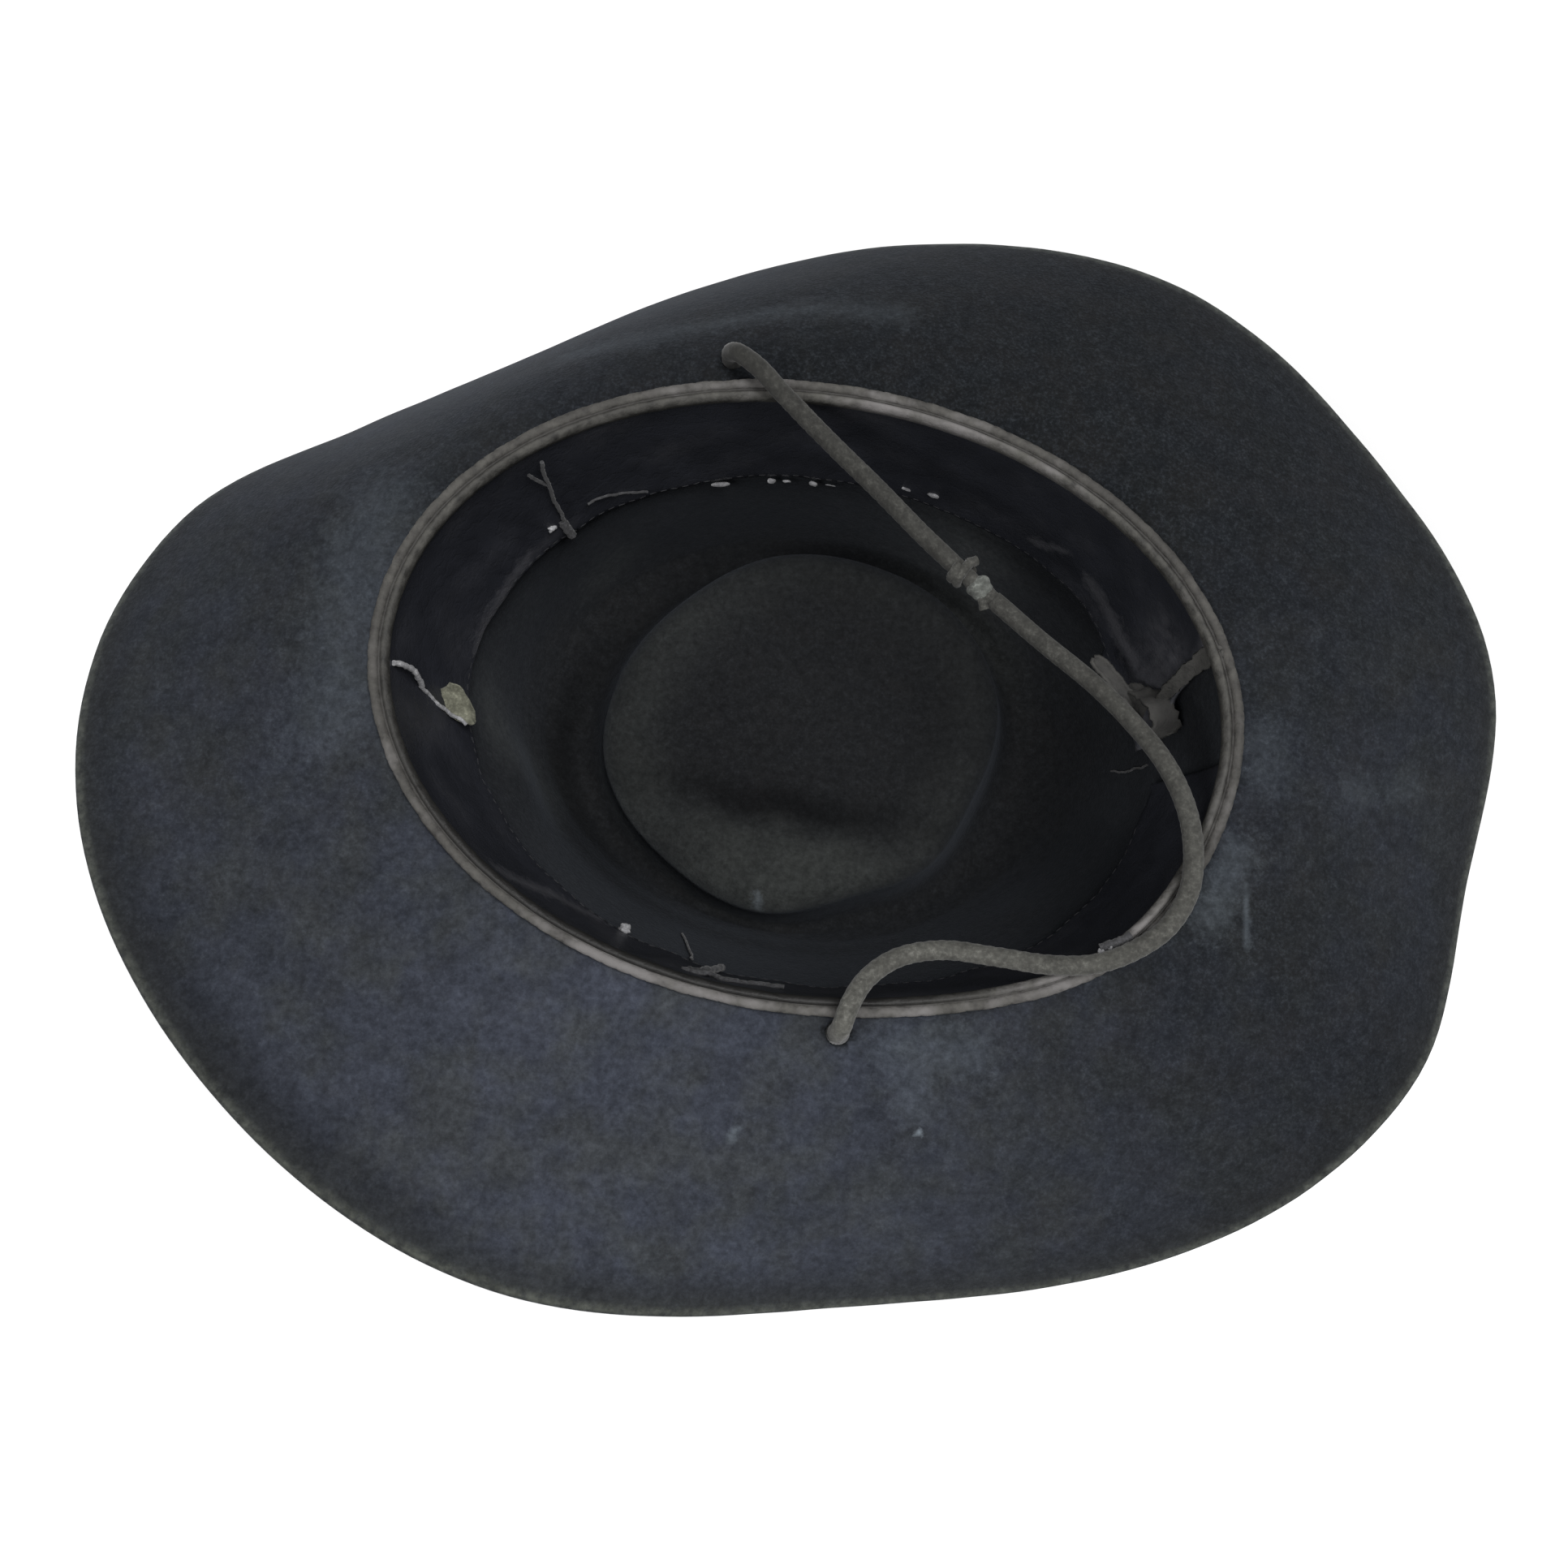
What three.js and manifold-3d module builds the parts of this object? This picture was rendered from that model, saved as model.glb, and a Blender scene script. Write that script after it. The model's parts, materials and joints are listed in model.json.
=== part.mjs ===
// A wide-brim felt hat that rests on its crown with the head opening up.
//
// Lengths are millimetres and angles are degrees. While the pieces are made, heights are
// counted from the plane of the head opening, so the crown is below zero. A bearing turns
// anticlockwise, seen from above, from the back of the hat at +X. The last step sets the
// hat on the ground plane with its box centred on the origin.

import * as THREE from 'three';
import { mergeVertices } from 'three/addons/utils/BufferGeometryUtils.js';
import Module from 'manifold-3d';

const wasm = await Module();
wasm.setup();

// Driving dimensions

const COLUMNS = 64; // bearings round every ring of the felt and the leather
const SLACK = 0.35; // gap from the crown to the cord that lies against it

const FELT_THICKNESS = 2.5;
const OPENING = { halfLength: 104.5, halfWidth: 76.8, saddle: 1 };
const BACK_CORNER = { bearing: -42, bulge: 4, spread: 20 };
const BREAK = { radius: 4, out: 2.5, depth: 4.5 }; // the bend from the brim into the crown

// The brim, a row for each section round it. The droop is how far the edge lies below the
// opening, and the roll says how late along the section the felt turns down.
const BRIM_SECTIONS = [
  { bearing: -6, reach: 71, droop: 24, roll: 1.6 },
  { bearing: 13, reach: 76, droop: 21, roll: 1.6 },
  { bearing: 33, reach: 72.5, droop: 22, roll: 1.6 },
  { bearing: 60, reach: 73, droop: 22, roll: 1.6 },
  { bearing: 86, reach: 65, droop: 34, roll: 1.8 },
  { bearing: 110, reach: 56, droop: 49, roll: 1.8 },
  { bearing: 133, reach: 50, droop: 55, roll: 1.7 },
  { bearing: 153, reach: 56, droop: 49, roll: 1.6 },
  { bearing: 172, reach: 72, droop: 29, roll: 1.6 },
  { bearing: 193, reach: 78, droop: 10, roll: 1.6 },
  { bearing: 225, reach: 78, droop: 0, roll: 1.6 },
  { bearing: 253, reach: 79, droop: 3, roll: 1.6 },
  { bearing: 283, reach: 71, droop: 23, roll: 1.8 },
  { bearing: 310, reach: 72, droop: 24, roll: 1.6 },
  { bearing: 337, reach: 76, droop: 18, roll: 1.6 },
];
const BRIM_STEPS = 6;

// The crown's inner wall, a row for each depth below the opening.
const CROWN_WALL = [
  { depth: 4.5, halfLength: 103, halfWidth: 75.3, shiftX: 0, shiftY: 0 },
  { depth: 25, halfLength: 100.5, halfWidth: 74.6, shiftX: 0.3, shiftY: 0 },
  { depth: 50, halfLength: 96, halfWidth: 73, shiftX: 1, shiftY: 1 },
  { depth: 75, halfLength: 91, halfWidth: 69.8, shiftX: 0.5, shiftY: 4 },
  { depth: 92, halfLength: 87, halfWidth: 67.5, shiftX: -0.3, shiftY: 6.5 },
  { depth: 102, halfLength: 82.5, halfWidth: 65, shiftX: -0.7, shiftY: 8 },
];
const WALL_DEPTHS = [14, 28, 42, 56, 70, 83, 94, 102];

// Soft dents that old felt keeps, pushed into the crown from outside.
const WALL_DENTS = [
  { bearing: 204, depth: 74, push: 4, spread: 13, tall: 15 },
  { bearing: 318, depth: 80, push: 3, spread: 16, tall: 18 },
  { bearing: 62, depth: 72, push: 2.5, spread: 18, tall: 20 },
];

// The tip stands up inside the crown as a raised disc. Its outline, from its middle:
const TIP = { x: -1, y: 8.5, depth: 85 };
const TIP_OUTLINE = [
  { bearing: 17, reach: 61 },
  { bearing: 47, reach: 59.5 },
  { bearing: 76, reach: 56 },
  { bearing: 106, reach: 55 },
  { bearing: 140, reach: 53.5 },
  { bearing: 175, reach: 58 },
  { bearing: 200, reach: 61 },
  { bearing: 235, reach: 58 },
  { bearing: 266, reach: 58.5 },
  { bearing: 295, reach: 54.5 },
  { bearing: 321, reach: 57.5 },
  { bearing: 345, reach: 56.5 },
];
// From the foot of the wall (share 1) over the crest's floor up to the tip's rim (share 0).
const CREST_ROWS = [
  { share: 0.8, depth: 105.8 },
  { share: 0.62, depth: 108.2 },
  { share: 0.38, depth: 108.2 },
  { share: 0.2, depth: 104.5 },
  { share: 0.08, depth: 96 },
];
const TIP_ROWS = [
  { scale: 1, drop: 3.2 },
  { scale: 0.94, drop: 0.6 },
  { scale: 0.8, drop: 0 },
  { scale: 0.62, drop: 0 },
  { scale: 0.42, drop: 0.3 },
  { scale: 0.2, drop: 0.5 },
];
// A crease runs across the near third of the tip, with a lip between it and the rim.
const TIP_CREASE = { y: -29, sink: 3.5, width: 5, halfLength: 40, lip: 2.5 };
const CREST_FLAT = 110.5; // depth at which the crest is pressed flat by the hat's weight

// Two round holes through the brim let the chin cord in and out.
const HOLE = { diameter: 5.8, height: 12, sides: 12, z: -3 };
const FAR_HOLE = { x: -31.5, y: 81.5 };
const NEAR_HOLE = { x: 21.2, y: -79.8 };

const CORD = { diameter: 4.5, sides: 10, step: 10 };
const KNOT = { x: 38.5, y: 34.2, z: -6.4, length: 5, width: 4.3, sides: 12, rings: 8 };
const TAIL = { diameter: 4.2, length: 7, out: 4.2, turn: 12, sides: 8 };

const REED = { radius: 1.3, out: 0.3, height: 0.7, sides: 6 };

// The sweatband's bead in section, beside the reed.
const BAND_BEAD = [
  { out: -3.1, height: -2 },
  { out: -3.7, height: 0.4 },
  { out: -3.2, height: 1.7 },
  { out: -2.4, height: 2.1 },
  { out: -1.7, height: 1.5 },
  { out: -1.5, height: 0.2 },
  { out: -1.9, height: -2 },
];
// Its sheet, from a top depth down to an edge whose depth and inward lean change round it.
const BAND = { thickness: 1.2, gap: 0.6, top: 4, torn: 5 };
const BAND_SHARES = [0.2, 0.45, 0.72, 1];
const BAND_EDGE = [
  { bearing: -9, depth: 49, lean: 0 },
  { bearing: -3, depth: 44, lean: 1 },
  { bearing: -1, depth: BAND.torn, lean: 0 },
  { bearing: 12, depth: BAND.torn, lean: 0 },
  { bearing: 15, depth: 40, lean: 7 },
  { bearing: 26, depth: 49, lean: 6 },
  { bearing: 40, depth: 50, lean: 1 },
  { bearing: 120, depth: 50, lean: 0 },
  { bearing: 180, depth: 50, lean: 0.5 },
  { bearing: 215, depth: 49, lean: 3 },
  { bearing: 245, depth: 50, lean: 1 },
  { bearing: 300, depth: 50, lean: 0 },
];

const FELT_FINISH = new THREE.MeshStandardMaterial({ color: 0x20242c, roughness: 0.95 });
const LEATHER_FINISH = new THREE.MeshStandardMaterial({ color: 0x17161a, roughness: 0.55 });
const REED_FINISH = new THREE.MeshStandardMaterial({ color: 0x544a44, roughness: 0.6 });
const CORD_FINISH = new THREE.MeshStandardMaterial({ color: 0x4a4841, roughness: 0.7 });

// Smooth tables

const radians = THREE.MathUtils.degToRad;
const turnBetween = (from, to) => THREE.MathUtils.euclideanModulo(to - from + 180, 360) - 180;

// A cubic through four values at four places, read between the two in the middle.
function cubic(places, values, at) {
  const span = places[2] - places[1];
  const t = (at - places[1]) / span;
  const slopeIn = ((values[2] - values[0]) / (places[2] - places[0])) * span;
  const slopeOut = ((values[3] - values[1]) / (places[3] - places[1])) * span;
  return (
    (2 * t ** 3 - 3 * t ** 2 + 1) * values[1] +
    (t ** 3 - 2 * t ** 2 + t) * slopeIn +
    (3 * t ** 2 - 2 * t ** 3) * values[2] +
    (t ** 3 - t ** 2) * slopeOut
  );
}

// The value of a column at a bearing, in a table that closes round the hat.
function around(table, bearing, column) {
  const count = table.length;
  const turned = (row) => THREE.MathUtils.euclideanModulo(bearing - row.bearing, 360);
  const start = table.reduce((best, row, i) => (turned(row) < turned(table[best]) ? i : best), 0);
  const rows = [-1, 0, 1, 2].map((step) => table[(start + step + count) % count]);
  const places = [0, 0, 0, 0];
  places[0] = turnBetween(rows[1].bearing, rows[0].bearing);
  places[2] = turnBetween(rows[1].bearing, rows[2].bearing);
  places[3] = places[2] + turnBetween(rows[2].bearing, rows[3].bearing);
  return cubic(places, rows.map((row) => row[column]), turned(rows[1]));
}

// The value of a column at a depth, in the table of the crown's wall.
function down(depth, column) {
  const last = CROWN_WALL.length - 1;
  const found = CROWN_WALL.findIndex((row) => row.depth > depth);
  const start = (found === -1 ? last : Math.max(found, 1)) - 1;
  const row = (i) => CROWN_WALL[THREE.MathUtils.clamp(i, 0, last)];
  const places = [row(start).depth - 20, row(start).depth, row(start + 1).depth, row(start + 1).depth + 20];
  if (start > 0) places[0] = row(start - 1).depth;
  if (start + 2 <= last) places[3] = row(start + 2).depth;
  return cubic(places, [-1, 0, 1, 2].map((step) => row(start + step)[column]), depth);
}

const bump = (distance, spread) => Math.exp(-((distance / spread) ** 2));

// Surfaces

// A point on an ellipse and the way out of it.
function ellipsePoint(bearing, halfLength, halfWidth) {
  const turn = radians(bearing);
  const point = new THREE.Vector3(halfLength * Math.cos(turn), halfWidth * Math.sin(turn), 0);
  const out = new THREE.Vector3(Math.cos(turn) / halfLength, Math.sin(turn) / halfWidth, 0);
  return { point, out: out.normalize() };
}

// A point near the edge of the opening, so far out from it and so high above it.
function nearMouth(bearing, out, height) {
  const edge = ellipsePoint(bearing, OPENING.halfLength, OPENING.halfWidth);
  const bulge = BACK_CORNER.bulge * bump(turnBetween(BACK_CORNER.bearing, bearing), BACK_CORNER.spread);
  const place = edge.point.addScaledVector(edge.out, out + bulge);
  place.z = height + OPENING.saddle * Math.cos(radians(2 * bearing));
  return place;
}

// A point on the brim's upper face, from the break (share 0) to the edge (share 1).
function brimPoint(bearing, share) {
  const reach = around(BRIM_SECTIONS, bearing, 'reach');
  const droop = around(BRIM_SECTIONS, bearing, 'droop');
  const roll = around(BRIM_SECTIONS, bearing, 'roll');
  const out = BREAK.out + (reach - BREAK.out) * share;
  return nearMouth(bearing, out, BREAK.radius - BREAK.depth - droop * share ** roll);
}

// A point on the bend that joins the brim to the crown, at 90 on the brim, at 180 on the wall.
function breakPoint(bearing, angle) {
  const out = BREAK.out + BREAK.radius * Math.cos(radians(angle));
  return nearMouth(bearing, out, BREAK.radius * Math.sin(radians(angle)) - BREAK.depth);
}

// A point on the crown's inner wall, or so far inward from it.
function wallPoint(bearing, depth, inward = 0) {
  const ring = ellipsePoint(bearing, down(depth, 'halfLength'), down(depth, 'halfWidth'));
  const fade = Math.max(0, 1 - depth / TIP.depth);
  let out = fade * BACK_CORNER.bulge * bump(turnBetween(BACK_CORNER.bearing, bearing), BACK_CORNER.spread);
  for (const dent of WALL_DENTS) {
    const along = bump(turnBetween(dent.bearing, bearing), dent.spread);
    out -= dent.push * along * bump(depth - dent.depth, dent.tall);
  }
  const place = ring.point.addScaledVector(ring.out, out - inward);
  const saddle = fade * OPENING.saddle * Math.cos(radians(2 * bearing));
  return place.add(new THREE.Vector3(down(depth, 'shiftX'), down(depth, 'shiftY'), saddle - depth));
}

// A point on the tip's outline, scaled about its middle.
function tipPoint(bearing, scale, depth) {
  const reach = scale * around(TIP_OUTLINE, bearing, 'reach');
  const turn = radians(bearing);
  return new THREE.Vector3(TIP.x + reach * Math.cos(turn), TIP.y + reach * Math.sin(turn), -depth);
}

function tipTop(bearing, scale, drop) {
  const place = tipPoint(bearing, scale, TIP.depth + drop);
  const beyond = TIP_CREASE.y - (place.y - TIP.y);
  const along = bump(place.x - TIP.x, TIP_CREASE.halfLength);
  place.z -= TIP_CREASE.sink * along * bump(beyond, TIP_CREASE.width);
  place.z += TIP_CREASE.lip * along * THREE.MathUtils.smoothstep(beyond, 0, 3 * TIP_CREASE.width);
  return place;
}

// The felt's upper face along one bearing, from the brim's edge to the tip's middle ring.
function feltLine(bearing) {
  const line = [];
  for (let i = BRIM_STEPS; i > 0; i -= 1) line.push(brimPoint(bearing, i / BRIM_STEPS));
  for (const angle of [90, 120, 150, 180]) line.push(breakPoint(bearing, angle));
  for (const depth of WALL_DEPTHS) line.push(wallPoint(bearing, depth));
  const foot = wallPoint(bearing, WALL_DEPTHS.at(-1));
  const rim = tipPoint(bearing, 1, TIP.depth);
  for (const row of CREST_ROWS) {
    const place = rim.clone().lerp(foot, row.share);
    place.z = -row.depth;
    line.push(place);
  }
  for (const row of TIP_ROWS) line.push(tipTop(bearing, row.scale, row.drop));
  return line;
}

// Meshes

const bearings = Array.from({ length: COLUMNS }, (_, i) => (360 * i) / COLUMNS);

function meshOf(name, geometry, finish) {
  geometry.computeVertexNormals();
  const mesh = new THREE.Mesh(geometry, finish);
  mesh.name = name;
  return mesh;
}

function geometryOf(points, triangles) {
  const geometry = new THREE.BufferGeometry().setFromPoints(points);
  geometry.setIndex(triangles);
  return geometry;
}

// Two triangles for each cell between the lines at neighbouring bearings.
function pushStrip(triangles, index, columns, rows, closedRows) {
  for (let i = 0; i < columns; i += 1) {
    const next = (i + 1) % columns;
    for (let j = 0; j < (closedRows ? rows : rows - 1); j += 1) {
      const below = (j + 1) % rows;
      triangles.push(index(i, j), index(i, below), index(next, j));
      triangles.push(index(next, j), index(i, below), index(next, below));
    }
  }
}

// A closed ring swept round the hat. sectionAt gives the section at a bearing, as points
// that turn clockwise when the outside of the hat is on the right.
function ringGeometry(sectionAt) {
  const sections = bearings.map(sectionAt);
  const rows = sections[0].length;
  const triangles = [];
  pushStrip(triangles, (i, j) => i * rows + j, COLUMNS, rows, true);
  return geometryOf(sections.flat(), triangles);
}

// The felt: the upper face, the lower face one thickness below it, and the raw edge.
function feltGeometry() {
  const lines = bearings.map(feltLine);
  const rows = lines[0].length;
  const crestFlat = -CREST_FLAT;
  const lower = lines.map((line, i) =>
    line.map((place, j) => {
      const next = lines[(i + 1) % COLUMNS][j];
      const last = lines[(i + COLUMNS - 1) % COLUMNS][j];
      const inward = line[Math.min(j + 1, rows - 1)];
      const outward = line[Math.max(j - 1, 0)];
      const along = next.clone().sub(last);
      const away = along.cross(inward.clone().sub(outward)).normalize();
      const below = place.clone().addScaledVector(away, -FELT_THICKNESS);
      const pressed = place.z < crestFlat + FELT_THICKNESS;
      below.z = pressed ? crestFlat : Math.max(below.z, crestFlat);
      return below;
    }),
  );
  const middle = new THREE.Vector3(TIP.x, TIP.y, -TIP.depth - TIP_ROWS.at(-1).drop);
  const points = [...lines.flat(), ...lower.flat(), middle, middle.clone().setZ(middle.z - FELT_THICKNESS)];
  const size = COLUMNS * rows;
  const top = (i, j) => i * rows + j;
  const bottom = (i, j) => size + i * rows + j;
  const triangles = [];
  pushStrip(triangles, (i, j) => top(COLUMNS - 1 - i, j), COLUMNS, rows, false);
  pushStrip(triangles, bottom, COLUMNS, rows, false);
  for (let i = 0; i < COLUMNS; i += 1) {
    const next = (i + 1) % COLUMNS;
    triangles.push(top(i, rows - 1), top(next, rows - 1), 2 * size);
    triangles.push(bottom(next, rows - 1), bottom(i, rows - 1), 2 * size + 1);
    triangles.push(top(i, 0), bottom(i, 0), top(next, 0));
    triangles.push(top(next, 0), bottom(i, 0), bottom(next, 0));
  }
  return geometryOf(points, triangles);
}

function solidOf(geometry) {
  geometry.deleteAttribute('normal');
  geometry.deleteAttribute('uv');
  const merged = mergeVertices(geometry, 1e-4);
  const vertProperties = new Float32Array(merged.attributes.position.array);
  const triVerts = new Uint32Array(merged.index.array);
  return new wasm.Manifold(new wasm.Mesh({ numProp: 3, vertProperties, triVerts }));
}

function geometryFrom(solid) {
  const { vertProperties, triVerts } = solid.getMesh();
  const geometry = new THREE.BufferGeometry();
  geometry.setAttribute('position', new THREE.BufferAttribute(new Float32Array(vertProperties), 3));
  geometry.setIndex(new THREE.BufferAttribute(new Uint32Array(triVerts), 1));
  return geometry;
}

function feltBody() {
  let solid = solidOf(feltGeometry());
  for (const { x, y } of [FAR_HOLE, NEAR_HOLE]) {
    const radius = HOLE.diameter / 2;
    const bar = new THREE.CylinderGeometry(radius, radius, HOLE.height, HOLE.sides);
    solid = solid.subtract(solidOf(bar.rotateX(Math.PI / 2).translate(x, y, HOLE.z)));
  }
  return meshOf('felt_body', geometryFrom(solid), FELT_FINISH);
}

function sweatbandReed() {
  const section = (bearing) =>
    Array.from({ length: REED.sides }, (_, i) => {
      const turn = (2 * Math.PI * i) / REED.sides;
      const out = REED.out + REED.radius * Math.cos(turn);
      return nearMouth(bearing, out, REED.height - REED.radius * Math.sin(turn));
    });
  return meshOf('sweatband_reed', ringGeometry(section), REED_FINISH);
}

// The leather band: a bead beside the reed, and a thin sheet down the crown's wall.
// At the back its seam is torn open up to the bead.
function sweatband() {
  const section = (bearing) => {
    const edge = Math.max(BAND.torn, around(BAND_EDGE, bearing, 'depth'));
    const lean = Math.max(0, around(BAND_EDGE, bearing, 'lean'));
    const sheet = (share, inward) => {
      const depth = THREE.MathUtils.lerp(BAND.top, edge, share);
      return wallPoint(bearing, depth, BAND.gap + inward + lean * share ** 2);
    };
    const outside = BAND_SHARES.map((share) => sheet(share, 0));
    const inside = BAND_SHARES.map((share) => sheet(share, BAND.thickness)).reverse();
    const fold = BAND_BEAD.map((corner) => nearMouth(bearing, corner.out, corner.height));
    return [...fold, ...outside, ...inside];
  };
  return meshOf('sweatband', ringGeometry(section), LEATHER_FINISH);
}

// The chin cord is one cord. It comes up through the far hole, crosses the opening, lies on
// the back of the rim and goes down through the near hole; the rest of it lies against the
// outside of the crown, round the front.
const place = (x, y, z) => new THREE.Vector3(x, y, z);

const FAR_STRETCH = [
  place(FAR_HOLE.x, FAR_HOLE.y, -3.2),
  place(FAR_HOLE.x, FAR_HOLE.y, 1.8),
  place(-29.5, 79.5, 6),
  place(-24, 76, 7.4),
  place(-16.5, 70.5, 5.9),
  place(-4, 62, 2.6),
  place(11, 52.5, -1.5),
  place(23.5, 44, -4.5),
  place(34.1, 37.1, -6.2),
];
const NEAR_STRETCH = [
  place(42.9, 31.3, -6.5),
  place(56.5, 22.5, -6.5),
  place(70, 13.5, -4.5),
  place(80, 4.5, -1.2),
  place(88, -5, 2.4),
  place(93.5, -15.5, 5),
  place(96, -25.5, 5.8),
  place(96, -34.5, 5.7),
  place(92.5, -43, 5.3),
  place(86, -49.5, 5.3),
  place(77, -54.5, 5.4),
  place(66, -56.5, 4.2),
  place(54, -56.5, 1.2),
  place(42, -57, 0.2),
  place(32, -60.5, 1.4),
  place(25.5, -66.5, 4.4),
  place(22.5, -73, 7),
  place(21.5, -78, 6),
  place(NEAR_HOLE.x, NEAR_HOLE.y, 2),
  place(NEAR_HOLE.x, NEAR_HOLE.y, -2.6),
];

// The hidden stretch, from hole to hole against the crown's outer wall.
const HIDDEN_RUN = { from: 122, to: 268, points: 9, height: -14.5 };

function hiddenStretch() {
  const out = BREAK.out - BREAK.radius + FELT_THICKNESS + CORD.diameter / 2 + SLACK;
  const run = Array.from({ length: HIDDEN_RUN.points }, (_, i) => {
    const share = i / (HIDDEN_RUN.points - 1);
    const bearing = THREE.MathUtils.lerp(HIDDEN_RUN.from, HIDDEN_RUN.to, share);
    return nearMouth(bearing, out, HIDDEN_RUN.height);
  });
  return [
    place(FAR_HOLE.x, FAR_HOLE.y, -3.6),
    place(FAR_HOLE.x, FAR_HOLE.y, -6.9),
    place(FAR_HOLE.x - 2.4, FAR_HOLE.y - 0.6, -11.9),
    place(FAR_HOLE.x - 9, FAR_HOLE.y - 4, -14.3),
    ...run,
    place(NEAR_HOLE.x - 9, NEAR_HOLE.y - 0.3, -14.3),
    place(NEAR_HOLE.x - 2.6, NEAR_HOLE.y - 0.2, -11.6),
    place(NEAR_HOLE.x, NEAR_HOLE.y, -5.6),
    place(NEAR_HOLE.x, NEAR_HOLE.y, -3),
  ];
}

function cordMesh(name, route) {
  const path = new THREE.CatmullRomCurve3(route, false, 'centripetal');
  const radius = CORD.diameter / 2;
  const corners = Array.from({ length: CORD.sides }, (_, i) => {
    const turn = (2 * Math.PI * i) / CORD.sides;
    return new THREE.Vector2(radius * Math.cos(turn), radius * Math.sin(turn));
  });
  const steps = Math.ceil(path.getLength() / CORD.step);
  const geometry = new THREE.ExtrudeGeometry(new THREE.Shape(corners), { steps, extrudePath: path });
  return meshOf(name, geometry, CORD_FINISH);
}

// The knot that joins the cord's two ends, with the short tails that stand out of it.
function chinKnot() {
  const along = NEAR_STRETCH[0].clone().sub(FAR_STRETCH.at(-1)).setZ(0).normalize();
  const turn = Math.atan2(along.y, along.x);
  const lump = new THREE.SphereGeometry(1, KNOT.sides, KNOT.rings);
  lump.scale(KNOT.length, KNOT.width, KNOT.width);
  let solid = solidOf(lump.rotateZ(turn));
  for (const side of [-1, 1]) {
    const tail = new THREE.CylinderGeometry(TAIL.diameter / 2, TAIL.diameter / 2, TAIL.length, TAIL.sides);
    tail.rotateZ(radians(side * TAIL.turn)).translate(0, side * TAIL.out, 0).rotateZ(turn);
    solid = solid.add(solidOf(tail));
  }
  const geometry = geometryFrom(solid).translate(KNOT.x, KNOT.y, KNOT.z);
  return meshOf('chin_knot', geometry, CORD_FINISH);
}

// The hat

const group = new THREE.Group();
group.add(feltBody());
group.add(sweatbandReed());
group.add(sweatband());
group.add(cordMesh('chin_cord_far', FAR_STRETCH));
group.add(cordMesh('chin_cord_near', NEAR_STRETCH));
group.add(cordMesh('crown_cord', hiddenStretch()));
group.add(chinKnot());

const box = new THREE.Box3().setFromObject(group, true);
const centre = box.getCenter(new THREE.Vector3());
group.position.set(-centre.x, -centre.y, -box.min.z);

export default group;
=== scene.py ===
"""A wide-brim felt hat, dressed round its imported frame.

The hat lies on its crown with the head opening up. Sizes in the tables and classes are
millimetres, counted from the middle of the head opening: x runs to the back of the hat, y to
its far side, and heights are counted from the plane of the opening, so the crown is below
zero. A bearing turns anticlockwise, seen from above, from +X, in degrees. MouthFrame alone
turns such places into the metres of the frame.
"""

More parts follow.
